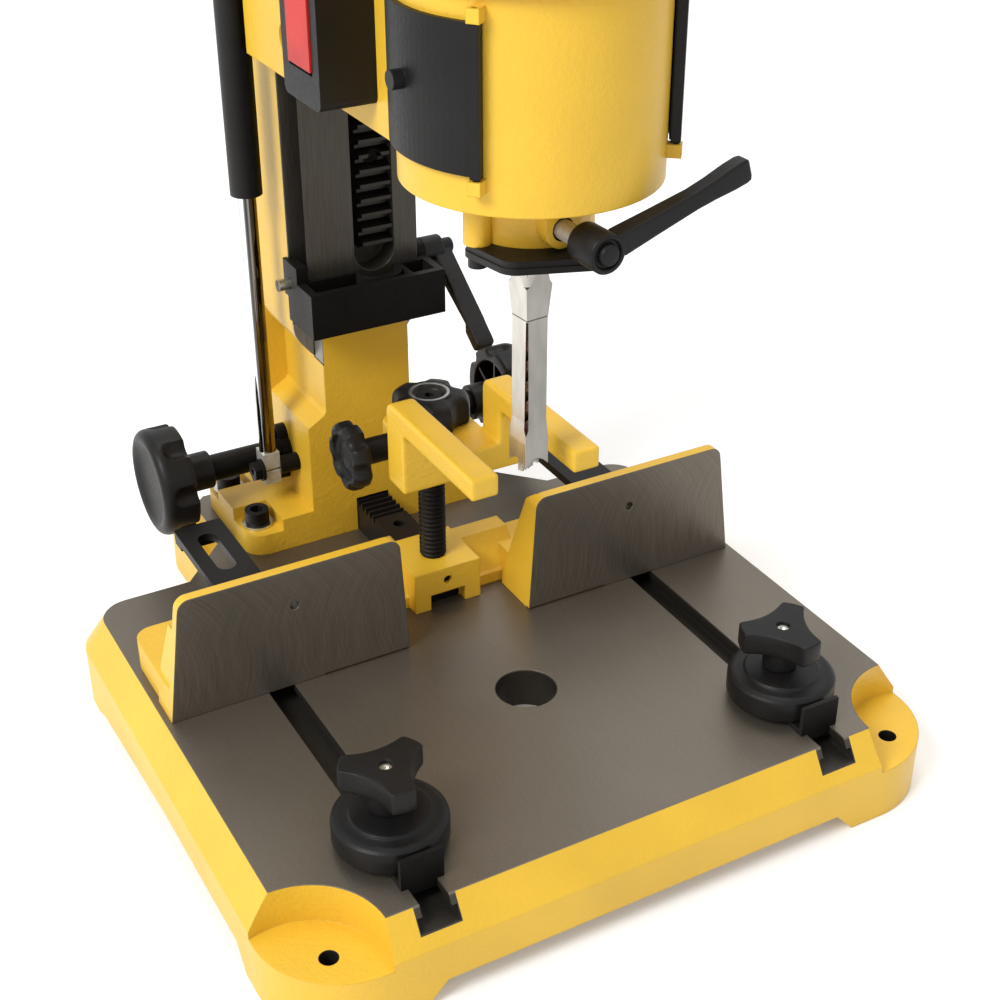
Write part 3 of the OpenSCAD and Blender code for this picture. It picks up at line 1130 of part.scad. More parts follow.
// Ratchet lever on the screw that pinches the chisel shank
module chisel_clamp_lever() rotate(clamp_angle) translate([clamp_off, 0, clamp_z]) {
    color(steel) y_cyl(clamp_screw_r, clamp_hub - shank_r, [0, -clamp_hub - 1, 0]);
    color(black) {
        y_cyl(clamp_hub_r, clamp_hub_len, [0, -clamp_hub - clamp_hub_len, 0]);
        y_cyl(5.2, 2, [0, -clamp_hub - clamp_hub_len - 1.8, 0]);
        translate([0, -clamp_hub - clamp_hub_len + 5.6, 0]) rotate([0, 0, -90])
            rotate([90 + clamp_lever_lift, 0, 0]) ratchet_lever(clamp_lever_len, clamp_hub_r + 0.3, 7, 10.8);
    }
}
// Feed: pinion shaft through the carriage, hub and lever on the right
module feed_shaft() color(steel) {
    x_cyl(feed_shaft_r, 2 * carriage_half_w + 32, [-carriage_half_w - 4, feed_y, feed_z]);
    translate([head_rack_x - head_rack_w / 2 + 1, feed_y, feed_z]) rotate([90, 0, 90])
        linear_extrude(head_rack_w - 2) polygon(gear_points(head_m, head_teeth));
}
hub_x = carriage_half_w + 2;
hub_r = 24;
hub_len = 44;
rod_x = hub_x + hub_len - 10;
grip_r = 2 * feed_rod_r;
grip_len = feed_len - 105;
module feed_hub() color(black) difference() {
    x_cyl(hub_r, hub_len, [hub_x, feed_y, feed_z]);
    x_cyl(feed_shaft_r + run / 4, 29, [hub_x - 1, feed_y, feed_z]);
    translate([rod_x, feed_y, feed_z]) rotate([feed_tilt, 0, 0])
        z_cyl(feed_rod_r + run / 4, 4 * hub_r, [0, 0, -2 * hub_r]);
}
feed_tilt = 30;
module feed_lever() translate([rod_x, feed_y, feed_z]) rotate([feed_tilt, 0, 0]) {
    color(steel) z_cyl(feed_rod_r, feed_len + 10, [0, 0, -hub_r - 16]);
    color(black) {
        z_cyl(grip_r, grip_len, [0, 0, feed_len - grip_len]);
        translate([0, 0, feed_len]) sphere(grip_r);
        z_cyl(feed_rod_r + 4, 8, [0, 0, -hub_r - 24]);
    }
}
switch_front = 92;
switch_low = housing_z + 16;
switch_h = 80;
switch_d = 50;
switch_w = 34;
module switch_box() color(black) difference() {
    translate([-44 - switch_w, 0, 0]) rotate([0, 90, 0]) rotate([0, 0, 90]) linear_extrude(switch_w)
        round_rect([switch_front, switch_low], [switch_front + switch_d, switch_low + switch_h], 5);
    box([-44 - switch_w - 2, switch_front + 9, switch_low + 18],
        [-44 - 20, switch_front + switch_d - 9, switch_low + switch_h - 12]);
    y_cyl(2.4 + run, switch_d - 8, [-44 - 30, switch_front + 4, switch_low + switch_h - 16]);
}
module switch_paddle() color([0.7, 0.08, 0.06]) translate([-44 - 30, switch_front + 10, switch_low + switch_h - 16]) {
    y_cyl(2.4, switch_d - 10, [0, -5, 0]);
    translate([-5, 0, -44]) cube([5, switch_d - 20, 46]);
}
module cord_gland() color(black) {
    y_cyl(5.8, 12, [0, motor_r + 12, housing_top + 72]);
    y_cyl(9, 6, [0, motor_r + 18.2, housing_top + 72]);
    y_cyl(6.5, 18, [0, motor_r + 24, housing_top + 72]);
}

base_casting();
column_casting();
column_bolts();
column_washers();
column_cap();
head_rack();
head_rack_screws();
strut_rod();
strut_clevis();
strut_bolt();
shaft_bushings();
tool_clip();
fence_shaft();
fence_pinion();
left_handwheel();
right_handwheel();
fence_casting();
fence_rack();
left_slotted_arm();
right_slotted_arm();
fence_screws();
holddown_post();
holddown_casting();
holddown_knob();
knob_ring();
holddown_lock_knob();
left_guide_bracket();
left_clamp_bolt();
left_wheel();
left_clamp_knob();
right_guide_bracket();
right_clamp_bolt();
right_wheel();
right_clamp_knob();
stop_block();
stop_screw();
stop_lever();
head_casting();
nose_plate();
head_screws();
hollow_chisel();
gib();
strut_cylinder();
cord_gland();
motor_body();
motor_stator();
motor_bearings();
fan_cover();
switch_box();
switch_paddle();
spindle();
cooling_fan();
drill_chuck();
auger_bit();
left_chuck_door();
right_chuck_door();
chisel_clamp_lever();
feed_shaft();
feed_hub();
feed_lever();
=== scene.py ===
import math

import bmesh
import bpy
from mathutils import Matrix, Vector


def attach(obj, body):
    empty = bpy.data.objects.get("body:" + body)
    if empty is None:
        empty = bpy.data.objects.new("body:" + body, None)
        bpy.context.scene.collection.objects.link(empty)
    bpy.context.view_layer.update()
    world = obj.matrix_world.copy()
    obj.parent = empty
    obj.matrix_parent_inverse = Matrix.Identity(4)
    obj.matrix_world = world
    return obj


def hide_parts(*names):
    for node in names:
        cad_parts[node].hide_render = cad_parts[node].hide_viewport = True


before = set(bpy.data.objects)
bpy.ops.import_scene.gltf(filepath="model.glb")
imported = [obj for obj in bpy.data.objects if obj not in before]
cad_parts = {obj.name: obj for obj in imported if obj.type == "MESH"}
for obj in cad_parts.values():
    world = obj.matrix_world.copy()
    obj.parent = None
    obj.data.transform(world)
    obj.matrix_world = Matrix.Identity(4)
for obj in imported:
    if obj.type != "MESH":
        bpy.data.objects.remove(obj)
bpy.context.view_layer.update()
scene = bpy.context.scene
scene.view_settings.view_transform = "Standard"

# Base: one grey-iron casting on four bench ears, painted yellow all over in thick orange-peel enamel.
# The table's top is then ground bare, and the two T-slots are milled through the paint.
PAINT = (0.775, 0.475, 0.036)
IRON = (0.160, 0.138, 0.110)
# Dark iron for the oiled way, and painted shade in the slots, holes and pockets.
OILED_AND_SHADED_IRON = (0.056, 0.050, 0.042)
TABLE_BORE_RADIUS = 0.0199
EAR_HOLE = (0.191, 0.123, 0.0)
EAR_HOLE_RADIUS = 0.0056
T_SLOT_INNER = 0.1214
T_SLOT_OUTER = 0.1466
T_SLOT_FLOOR = -0.0142


def node(tree, kind, sockets=None, **settings):
    n = tree.nodes.new("ShaderNode" + kind)
    for key, value in settings.items():
        setattr(n, key, value)
    for key, value in (sockets or {}).items():
        if isinstance(value, bpy.types.NodeSocket):
            tree.links.new(value, n.inputs[key])
        else:
            n.inputs[key].default_value = value
    return n


def material(name, colour, roughness, metallic=0.0):
    mat = bpy.data.materials.new(name)
    mat.use_nodes = True
    shader = mat.node_tree.nodes["Principled BSDF"]
    shader.inputs["Base Color"].default_value = (*colour, 1)
    shader.inputs["Roughness"].default_value = roughness
    shader.inputs["Metallic"].default_value = metallic
    return mat, mat.node_tree, shader


def math_node(tree, operation, a, b=0.0, c=0.0):
    n = node(tree, "Math", {0: a, 1: b, 2: c}, operation=operation)
    return n.outputs[0]


def ramp(tree, value, low, high, from_min=0.0, from_max=1.0):
    n = node(tree, "MapRange", {"Value": value, "From Min": from_min, "From Max": from_max,
                                "To Min": low, "To Max": high})
    return n.outputs["Result"]


def noise(tree, where, scale, detail=2.0, stretch=None):
    if stretch:
        where = node(tree, "Mapping", {"Vector": where, "Scale": stretch}).outputs["Vector"]
    return node(tree, "TexNoise", {"Vector": where, "Scale": scale, "Detail": detail}).outputs["Fac"]


def blend(tree, factor, first, second):
    """first where factor is 0, second where it is 1; each a colour or another node's output."""
    first, second = [c if isinstance(c, bpy.types.NodeSocket) else (*c, 1) for c in (first, second)]
    return node(tree, "Mix", {"Factor": factor, 6: first, 7: second}, data_type="RGBA").outputs[2]


def tint(tree, colour, amount, low, high):
    """colour times a number that goes from low to high as amount goes from 0.3 to 0.7."""
    value = ramp(tree, amount, low, high, 0.3, 0.7)
    grey = node(tree, "CombineColor", {"Red": value, "Green": value, "Blue": value}).outputs["Color"]
    colour = colour if isinstance(colour, bpy.types.NodeSocket) else (*colour, 1)
    mix = node(tree, "Mix", {"Factor": 1.0, 6: colour, 7: grey}, data_type="RGBA", blend_type="MULTIPLY")
    return mix.outputs[2]


def relief(tree, shader, height, distance, strength, edge):
    """Bump up to that distance, with edges that catch the light as if rounded by edge metres."""
    normal = node(tree, "Bevel", {"Radius": edge}, samples=4).outputs["Normal"]
    bump = node(tree, "Bump", {"Height": height, "Distance": distance, "Strength": strength,
                               "Normal": normal})
    tree.links.new(bump.outputs["Normal"], shader.inputs["Normal"])


def inside(tree, where, low, high):
    """1 within a box in the part's frame, 0 outside; None leaves a side open. X is taken without its sign."""
    parts = node(tree, "SeparateXYZ", {"Vector": where}).outputs
    result = None
    for k in range(3):
        coord = math_node(tree, "ABSOLUTE", parts[0]) if k == 0 else parts[k]
        for limit, operation in ((low[k], "GREATER_THAN"), (high[k], "LESS_THAN")):
            if limit is None:
                continue
            test = math_node(tree, operation, coord, limit)
            result = test if result is None else math_node(tree, "MULTIPLY", result, test)
    return result


def either(tree, *tests):
    result = tests[0]
    for test in tests[1:]:
        result = math_node(tree, "MAXIMUM", result, test)
    return result


def painted_casting(name, bare=None, marks=None, iron_and_shade=None):
    """Enamelled casting, machined bare where bare(tree, where) is 1.

    marks gives the scratches of the machined places, and the last argument their colour, with painted shade
    in the slots, holes, pockets and steps included.
    """
    mat, tree, shader = material(name, PAINT, 0.36)
    where = node(tree, "TexCoord").outputs["Object"]
    peel = noise(tree, where, 330.0, 3.0)
    pits = noise(tree, where, 900.0, 2.0)
    cloud = noise(tree, where, 14.0, 3.0)
    height = math_node(tree, "MULTIPLY_ADD", pits, 0.35, peel)
    colour = tint(tree, PAINT, cloud, 0.93, 1.05)
    shader.inputs["Specular IOR Level"].default_value = 0.36
    shader.inputs["Coat Weight"].default_value = 0.1
    shader.inputs["Coat Roughness"].default_value = 0.25
    rough = ramp(tree, peel, 0.30, 0.44)
    if bare:
        cut = bare(tree, where)
        lines = marks(tree, where) if marks else noise(tree, where, 40.0, 4.0, (1, 30, 30))
        ground = tint(tree, iron_and_shade(tree, where) if iron_and_shade else IRON, lines, 0.86, 1.18)
        colour = blend(tree, cut, colour, ground)
        rough = node(tree, "Mix", {"Factor": cut, 2: rough, 3: ramp(tree, lines, 0.34, 0.5)}).outputs[0]
        tree.links.new(math_node(tree, "MULTIPLY", cut, 0.72), shader.inputs["Metallic"])
        shallow = math_node(tree, "MULTIPLY", lines, 0.22)
        height = node(tree, "Mix", {"Factor": cut, 2: height, 3: shallow}).outputs[0]
    tree.links.new(colour, shader.inputs["Base Color"])
    tree.links.new(rough, shader.inputs["Roughness"])
    relief(tree, shader, height, 0.0007, 0.55, 0.0012)
    return mat


def dress(mat, *names):
    for name in names:
        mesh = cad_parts[name].data
        mesh.materials.clear()
        mesh.materials.append(mat)


def bore(tree, where, axis, radius):
    """1 within radius of a line through the origin's plane, along the axis that is named 0, 1 or 2."""
    parts = list(node(tree, "SeparateXYZ", {"Vector": where}).outputs)
    parts[axis] = 0.0
    flat = node(tree, "CombineXYZ", {0: parts[0], 1: parts[1], 2: parts[2]}).outputs[0]
    reach = node(tree, "VectorMath", {0: flat}, operation="LENGTH").outputs["Value"]
    return math_node(tree, "LESS_THAN", reach, radius)


def bench_holes(tree, where):
    mirrored = node(tree, "VectorMath", {0: where}, operation="ABSOLUTE").outputs["Vector"]
    centred = node(tree, "VectorMath", {0: mirrored, 1: EAR_HOLE}, operation="SUBTRACT").outputs["Vector"]
    return bore(tree, centred, 2, EAR_HOLE_RADIUS)


def table_ground(tree, where):
    return either(tree, inside(tree, where, (None, None, -0.0004), (None, None, None)),
                  inside(tree, where, (T_SLOT_INNER, None, T_SLOT_FLOOR), (T_SLOT_OUTER, 0.1125, None)),
                  bore(tree, where, 2, TABLE_BORE_RADIUS), bench_holes(tree, where))


# Painted shade: bare iron below the table's top, in the T-slots, the bore and the bench holes, is coloured
# darker.
def table_iron_and_slot_shade(tree, where):
    return blend(tree, inside(tree, where, (None, None, None), (None, None, -0.0012)), IRON, OILED_AND_SHADED_IRON)


def grinding(tree, where):
    fine = noise(tree, where, 60.0, 4.0, (14, 0.6, 14))
    speck = noise(tree, where, 700.0, 2.0)
    broad = noise(tree, where, 9.0, 3.0)
    rest = math_node(tree, "MULTIPLY_ADD", speck, 0.45, math_node(tree, "MULTIPLY", broad, 0.35))
    return math_node(tree, "MULTIPLY_ADD", fine, 0.2, rest)


dress(painted_casting("enamel_and_ground_top", table_ground, grinding, table_iron_and_slot_shade), "base_casting")

# Column: a hollow iron casting on a bolted foot, painted, then milled for the dovetail way and its two lands.
# Four black cap screws on zinc washers hold it down, and a moulded cap closes its top.
LAND_Y = 0.2365


def land_edge(tree, where):
    """Height above the curved line where the milling cutter ran out on the column's corbel."""
    parts = node(tree, "SeparateXYZ", {"Vector": where}).outputs
    out = math_node(tree, "SUBTRACT", math_node(tree, "ABSOLUTE", parts[0]), 0.0351)
    cubed = math_node(tree, "POWER", math_node(tree, "MAXIMUM", out, 0.0), 3.0)
    line = math_node(tree, "MULTIPLY_ADD", out, 1.062, 0.1409)
    line = math_node(tree, "MULTIPLY_ADD", cubed, 3715.0, line)
    return math_node(tree, "SUBTRACT", parts[2], line)


def column_milled(tree, where):
    above = math_node(tree, "GREATER_THAN", land_edge(tree, where), -0.0012)
    side = math_node(tree, "MULTIPLY", above, inside(tree, where, (0.0314, None, None), (None, 0.2385, None)))
    way = inside(tree, where, (None, None, 0.1655), (None, LAND_Y + 0.001, None))
    hole = inside(tree, where, (None, None, -0.001), (0.0125, 0.3155, 0.026))
    return either(tree, side, way, hole)


def way_iron_and_painted_shade(tree, where):
    """Oil-dark on the way, with painted shade on its land under the stop; fresh and pale on the lands under
    it; painted shadow in black in the step at the lands' foot and in a thin line at the neck's corner.
    """
    low = inside(tree, where, (None, None, 0.1), (None, None, 0.1645))
    # Painted shadow: the step under the milled lands and the corner line at the neck are coloured near black.
    step = math_node(tree, "LESS_THAN", land_edge(tree, where), 0.0002)
    edge = inside(tree, where, (None, 0.2362, 0.1), (0.0326, None, 0.165))
    pale_lands_and_painted_shadow = blend(tree, either(tree, step, edge), (0.30, 0.29, 0.265), (0.02, 0.012, 0.006))
    return blend(tree, low, OILED_AND_SHADED_IRON, pale_lands_and_painted_shadow)


def milling(tree, where):
    return noise(tree, where, 70.0, 4.0, (12, 12, 0.7))


def side_light(tree):
    """-1 on what faces left as the camera sees it and 1 on what faces right, by the surface's own direction;
    the materials below paint light and shade from it.
    """
    facing = node(tree, "NewGeometry").outputs["Normal"]
    right = (0.8743, -0.4854, 0.0)
    return node(tree, "VectorMath", {0: facing, 1: right}, operation="DOT_PRODUCT").outputs["Value"]


def black_oxide(name):
    colour = (0.0075, 0.0065, 0.0060)
    roughness = 0.46
    mat, tree, shader = material(name, colour, roughness)
    # Painted sheen: the specular level is higher on faces turned left and lower on faces turned right.
    tree.links.new(ramp(tree, side_light(tree), 0.30, 0.08, -0.8, 0.5), shader.inputs["Specular IOR Level"])
    where = node(tree, "TexCoord").outputs["Object"]
    speck = noise(tree, where, 700.0, 3.0)
    cloud = noise(tree, where, 25.0, 3.0)
    # Painted light and shade: the oxide's colour is lighter on faces turned left and darker on faces turned
    # right.
    painted_side_light = tint(tree, colour, ramp(tree, side_light(tree), 0.7, 0.3, -0.8, 0.5), 0.6, 1.5)
    tree.links.new(tint(tree, painted_side_light, cloud, 0.8, 1.35), shader.inputs["Base Color"])
    tree.links.new(ramp(tree, speck, roughness - 0.1, roughness + 0.12), shader.inputs["Roughness"])
    relief(tree, shader, speck, 0.00022, 0.5, 0.0005)
    return mat


def bright_metal(name, colour, roughness, stretch, scale):
    mat, tree, shader = material(name, colour, roughness, 1.0)
    where = node(tree, "TexCoord").outputs["Object"]
    lines = noise(tree, where, scale, 4.0, stretch)
    tree.links.new(tint(tree, colour, lines, 0.86, 1.1), shader.inputs["Base Color"])
    tree.links.new(ramp(tree, lines, roughness - 0.08, roughness + 0.1), shader.inputs["Roughness"])
    relief(tree, shader, lines, 0.00006, 0.5, 0.0004)
    return mat


def black_plastic(name, colour=(0.0080, 0.0073, 0.0071), roughness=0.4):
    mat, tree, shader = material(name, colour, roughness)
    shader.inputs["Specular IOR Level"].default_value = 0.2
    where = node(tree, "TexCoord").outputs["Object"]
    skin = noise(tree, where, 420.0, 3.0)
    cloud = noise(tree, where, 30.0, 2.0)
    tree.links.new(tint(tree, colour, cloud, 0.85, 1.25), shader.inputs["Base Color"])
    tree.links.new(ramp(tree, skin, roughness - 0.08, roughness + 0.12), shader.inputs["Roughness"])
    relief(tree, shader, skin, 0.0003, 0.4, 0.0008)
    return mat


oxide = black_oxide("black_oxide")
moulded = black_plastic("moulded_black")
zinc = bright_metal("zinc_plate", (0.62, 0.62, 0.58), 0.3, (1, 1, 1), 200.0)
dress(painted_casting("enamel_and_milled_way", column_milled, milling, way_iron_and_painted_shade), "column_casting")
dress(oxide, "column_bolts", "head_rack_screws")
dress(zinc, "column_washers")
dress(moulded, "column_cap")

# Head rack: a hobbed steel bar let into the way's groove, dark with way oil.
# The head's pinion climbs it.
dark_steel = bright_metal("oiled_steel", (0.17, 0.155, 0.135), 0.36, (12, 12, 1), 70.0)
dress(bright_metal("way_oil_black", (0.040, 0.037, 0.033), 0.42, (12, 12, 1), 70.0), "head_rack")

# Gas strut: a polished chrome rod with a zinc clevis, pinned to the column's left side by a black bolt.
# Its black cylinder goes up to a lug on the head.


def polished_rod(name):
    """Hard chrome with a room's dark corners as painted reflections: bright at the left, dark bands right of
    its middle.
    """
    mat, tree, shader = material(name, (0.8, 0.8, 0.8), 0.09, 1.0)
    painted_reflection_bands = node(tree, "ValToRGB", {"Fac": ramp(tree, side_light(tree), 0.0, 1.0, -1.0, 1.0)})
    stops = painted_reflection_bands.color_ramp.elements
    for place, red, green, blue in (
            (0.10, 0.62, 0.62, 0.60), (0.17, 0.95, 0.95, 0.94), (0.30, 0.95, 0.95, 0.93),
            (0.37, 0.16, 0.17, 0.18), (0.46, 0.035, 0.035, 0.036), (0.53, 0.07, 0.066, 0.064),
            (0.60, 0.26, 0.235, 0.21), (0.67, 0.055, 0.045, 0.036), (0.80, 0.035, 0.026, 0.014),
            (0.90, 0.05, 0.035, 0.012)):
        stops.new(place).color = (red, green, blue, 1)
    stops[0].color = (0.60, 0.60, 0.58, 1)
    stops[-1].color = (0.2, 0.15, 0.06, 1)
    where = node(tree, "TexCoord").outputs["Object"]
    # Painted reflection: low on the rod, on faces not turned left, the colour goes yellow-brown for the
    # yellow column reflected there.
    foot = ramp(tree, node(tree, "SeparateXYZ", {"Vector": where}).outputs[2], 0.6, 0.0, 0.06, 0.24)
    foot = math_node(tree, "MULTIPLY", foot, math_node(tree, "GREATER_THAN", side_light(tree), -0.1))
    tree.links.new(blend(tree, foot, painted_reflection_bands.outputs["Color"], (0.30, 0.23, 0.12)), shader.inputs["Base Color"])
    return mat


dress(polished_rod("hard_chrome"), "strut_rod")
pale_zinc = bright_metal("plated_block", (0.50, 0.49, 0.44), 0.42, (1, 1, 1), 200.0)
pale_zinc.node_tree.nodes["Principled BSDF"].inputs["Metallic"].default_value = 0.4
dress(pale_zinc, "strut_clevis")
dress(oxide, "strut_bolt", "strut_cylinder", "tool_clip")

# Fence drive: a black shaft in two flanged bushings, a steel pinion and a moulded handwheel at each end.
# The wheels are ribbed at the back and dished at the front.
SHAFT = Vector((0, 0.270, 0.0524))
WHEEL_FACE = 0.149
WHEEL_THICK = 0.025


def piece(name, bm, mat, body, *stands_for, angle=35.0):
    """A finished mesh that rides on a body and stands for CAD nodes."""
    bmesh.ops.recalc_face_normals(bm, faces=bm.faces)
    mesh = bpy.data.meshes.new(name)
    bm.to_mesh(mesh)
    bm.free()
    mesh.materials.append(mat)
    thing = bpy.data.objects.new(name, mesh)
    scene.collection.objects.link(thing)
    mesh.polygons.foreach_set("use_smooth", [True] * len(mesh.polygons))
    mesh.set_sharp_from_angle(angle=math.radians(angle))
    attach(thing, body)
    if stands_for:
        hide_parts(*stands_for)
    return thing


def bridge(bm, low, high):
    """Faces between two closed rings that have as many points."""
    for k in range(len(low)):
        after = (k + 1) % len(low)
        bm.faces.new((low[k], low[after], high[after], high[k]))


def turned(bm, profile, place, shape, steps):
    """Turns (radius, height) points in mm about Z.

    shape(angle, radius, height) gives each point its own radius, in metres as what it is given.
    """
    rings = []
    for radius, height in [(r * 0.001, h * 0.001) for r, h in profile]:
        ring = []
        for k in range(steps):
            angle = 2 * math.pi * k / steps
            r = shape(angle, radius, height) if shape else radius
            ring.append(bm.verts.new(place @ Vector((r * math.cos(angle), r * math.sin(angle), height))))
        rings.append(ring)
    for low, high in zip(rings, rings[1:]):
        bridge(bm, low, high)
    return rings


def scallop(angle, count, phase, distance, radius):
    """How far out the rim reaches where round cutters of that radius stand at that distance from its axis."""
    turn = 2 * math.pi / count
    off = (angle - phase + turn / 2) % turn - turn / 2
    room = radius ** 2 - (distance * math.sin(off)) ** 2
    return distance * math.cos(off) - math.sqrt(room) if room > 0 and math.cos(off) > 0 else 1.0


def soft_min(a, b, width):
    """The smaller of two lengths, rounded over where they are within width of each other."""
    gap = max(0.0, width - abs(a - b)) / width
    return min(a, b) - gap * gap * width / 4


def handwheel_rim(angle, radius, height):
    if radius < 0.033 or height > 0.0185:
        return radius
    fade = max(0.0, (height - 0.0105) / 0.008)
    cutter = 0.0085 * math.sqrt(max(0.0, 1 - fade * fade))
    if cutter < 0.0005:
        return radius
    return soft_min(radius, scallop(angle, 7, 0.35, 0.0420, cutter) - (0.038 - radius), 0.0012)


def handwheel(name, side):
    bm = bmesh.new()
    place = Matrix.Translation(SHAFT + Vector((side * (WHEEL_FACE - WHEEL_THICK), 0, 0)))
    place = place @ Matrix.Rotation(side * math.pi / 2, 4, "Y")
    profile = [(9.6, -20), (12.9, -20), (13.5, -19.4), (13.5, 12), (14.5, 13), (26, 13), (27.4, 12),
               (28.4, 1), (29.2, 0.2), (35, 0), (36.8, 0.4), (37.7, 1.4)]
    profile += [(38, h) for h in (2.5, 5, 7.5, 9, 10.5, 12, 13, 14, 15, 16, 17, 17.8, 18.6)]
    profile += [(37.8, 20.2), (37.0, 22.2), (35.6, 23.8), (33.6, 24.8), (31.6, 25), (29.8, 24.5), (27, 22.9),
                (23, 21.3), (17, 20.3), (9, 20), (0.2, 20)]
    turned(bm, profile, place, handwheel_rim, 196)
    for k in range(6):
        arm = place @ Matrix.Rotation(k * math.pi / 3, 4, "Z")
        corners = [(0.013, 0.0012), (0.0285, 0.0012), (0.0285, -0.0012), (0.013, -0.0012)]
        top = [bm.verts.new(arm @ Vector((x, y, 0.002))) for x, y in corners]
        foot = [bm.verts.new(arm @ Vector((x, y, 0.0132))) for x, y in corners]
        bm.faces.new(top)
        bridge(bm, top, foot)
    screw = place @ Matrix.Translation((0, 0, -0.012)) @ Matrix.Rotation(side * math.pi / 2, 4, "X")
    turned(bm, [(3.1, 12.8), (3.1, 13.7), (2.2, 13.7), (1.6, 11.8), (0.1, 11.8)], screw, None, 24)
    thing = piece(name, bm, moulded, "fence_drive", name.replace("_moulded", ""))


dress(oxide, "shaft_bushings", "fence_shaft")
dress(dark_steel, "fence_pinion")
handwheel("left_handwheel_moulded", -1)
handwheel("right_handwheel_moulded", 1)

# Fence: a painted casting with two faces milled bare, on a black rack that runs into the column.
# A slotted black arm is screwed to each side of its foot.
FENCE_Y = 0.0736


def fence_faced(tree, where):
    return either(tree, inside(tree, where, (0.0435, FENCE_Y - 0.002, 0.0), (None, FENCE_Y + 0.0003, None)),
                  inside(tree, where, (0.1180, FENCE_Y - 0.002, 0.0555), (0.1250, FENCE_Y + 0.02, 0.0625)))


def face_milling(tree, where):
    """Arcs of a wide face mill, crossed by the finer ones of its trailing edge."""
    mill_radius = 0.075
    mill_height = 0.03
    parts = node(tree, "SeparateXYZ", {"Vector": where}).outputs
    up = math_node(tree, "SUBTRACT", parts[2], mill_height)
    squared = math_node(tree, "MULTIPLY", up, up)
    arc = math_node(tree, "SQRT", math_node(tree, "SUBTRACT", mill_radius ** 2, squared))
    sweeps = []
    for operation, scale in (("SUBTRACT", 900.0), ("ADD", 1300.0)):
        shifted = math_node(tree, operation, parts[0], arc)
        slow = math_node(tree, "MULTIPLY", parts[2], 0.02)
        flat = node(tree, "CombineXYZ", {"X": shifted, "Y": 0.0, "Z": slow})
        sweeps.append(noise(tree, flat.outputs["Vector"], scale, 3.0))
    lines = math_node(tree, "MULTIPLY_ADD", math_node(tree, "ADD", sweeps[0], sweeps[1]), 0.85, -0.5)
    return math_node(tree, "MULTIPLY_ADD", noise(tree, where, 12.0, 3.0), 0.3, lines)


# Painted shade: the bare iron deeper than the milled face, inside the small pocket, is coloured darker.
def face_iron_and_pocket_shade(tree, where):
    pocket_shade = inside(tree, where, (None, FENCE_Y + 0.0006, None), (None, None, None))
    return blend(tree, pocket_shade, IRON, OILED_AND_SHADED_IRON)


dress(painted_casting("enamel_and_milled_face", fence_faced, face_milling, face_iron_and_pocket_shade), "fence_casting")
dress(oxide, "fence_rack", "left_slotted_arm", "right_slotted_arm", "fence_screws")

# Hold-down: a painted iron fork on a black threaded post, run up and down by the moulded star knob.
# A second knob at its left side locks it.
enamel = painted_casting("enamel")
dress(oxide, "holddown_post")
POST = Vector((0, 0.127, 0))


def rubbed_round(node, body, mat, voxel, passes):
    """A casting whose sharp CAD edges and inner corners are rounded as the sand mould leaves them."""
    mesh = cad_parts[node].data.copy()
    mesh.materials.clear()
    mesh.materials.append(mat)
    thing = bpy.data.objects.new(node + "_rounded", mesh)
    scene.collection.objects.link(thing)
    remesh = thing.modifiers.new("remesh", "REMESH")
    remesh.mode = "VOXEL"
    remesh.voxel_size = voxel
    remesh.use_smooth_shade = True
    smooth = thing.modifiers.new("smooth", "SMOOTH")
    smooth.factor = 0.5
    smooth.iterations = passes
    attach(thing, body)
    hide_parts(node)


rubbed_round("holddown_casting", "hold_down", enamel, 0.0009, 26)


def star_rim(angle, radius, height):
    if radius < 0.0165:
        return radius
    reach = scallop(angle, 5, math.radians(10), 0.0335, 0.0125)
    return soft_min(radius, reach - (0.026 - radius) * 0.8, 0.004)


knob = bmesh.new()
profile = [(9.2, 0.3), (22.5, 0.3), (24.6, 0.9), (25.6, 2.2), (26, 4.5), (26, 8), (26, 12), (25.7, 14.6),
           (25.0, 16.6), (23.8, 18.2), (22.2, 19.4), (20, 20.3), (17.5, 20.9), (15, 21.4), (13.25, 21.5),
           (13.2, 18.2), (9.2, 17.6), (9.2, 0.3)]
turned(knob, profile, Matrix.Translation(POST + Vector((0, 0, 0.1305))), star_rim, 160)
thing = piece("star_knob", knob, moulded, "lift_knob", "holddown_knob")
dress(zinc, "knob_ring")


def lock_rim(angle, radius, height):
    if radius < 0.0165:
        return radius
    return soft_min(radius, scallop(angle, 7, 0.2, 0.0262, 0.0068) - (0.0225 - radius) * 0.8, 0.0018)


knob = bmesh.new()
profile = [(0.1, -16.96), (4, -16.96), (4, 0.3), (8, 0.3), (8.5, 0.8), (8.5, 22), (9.4, 23), (18, 23.4),
           (20.6, 24), (22, 25.2), (22.5, 27), (22.5, 31), (22.1, 33.4), (20.9, 35.3), (19, 36.2), (17, 36.1),
           (15.4, 35.2), (14.6, 33.4), (13.6, 32.8), (9, 32.6), (7.6, 33.2), (6.8, 33.4), (0.1, 33.4)]
place = Matrix.Translation(POST + Vector((-0.0265, 0, 0.120))) @ Matrix.Rotation(-math.pi / 2, 4, "Y")
turned(knob, profile, place, lock_rim, 168)
thing = piece("side_lock_knob", knob, moulded, "lock_knob", "holddown_lock_knob")

# Hold-ins: pressed black guides in the T-slots, moulded eccentric wheels, and three-lobed clamp knobs.
# A zinc bolt holds each set together.
dress(oxide, "left_guide_bracket", "right_guide_bracket")
T_SLOT_X = 0.134
CLAMP_BOLT_Y = -0.080
WHEEL_HUB_Y = -0.083


def clamp_lobes(phase):
    def shape(angle, radius, height):
        if radius < 0.0105 or height < 0.0365:
            return radius
        reach = scallop(angle, 3, phase + math.pi, 0.060, 0.045)
        return soft_min(radius, reach - min(0.0265 - radius, 0.002), 0.002)
    return shape


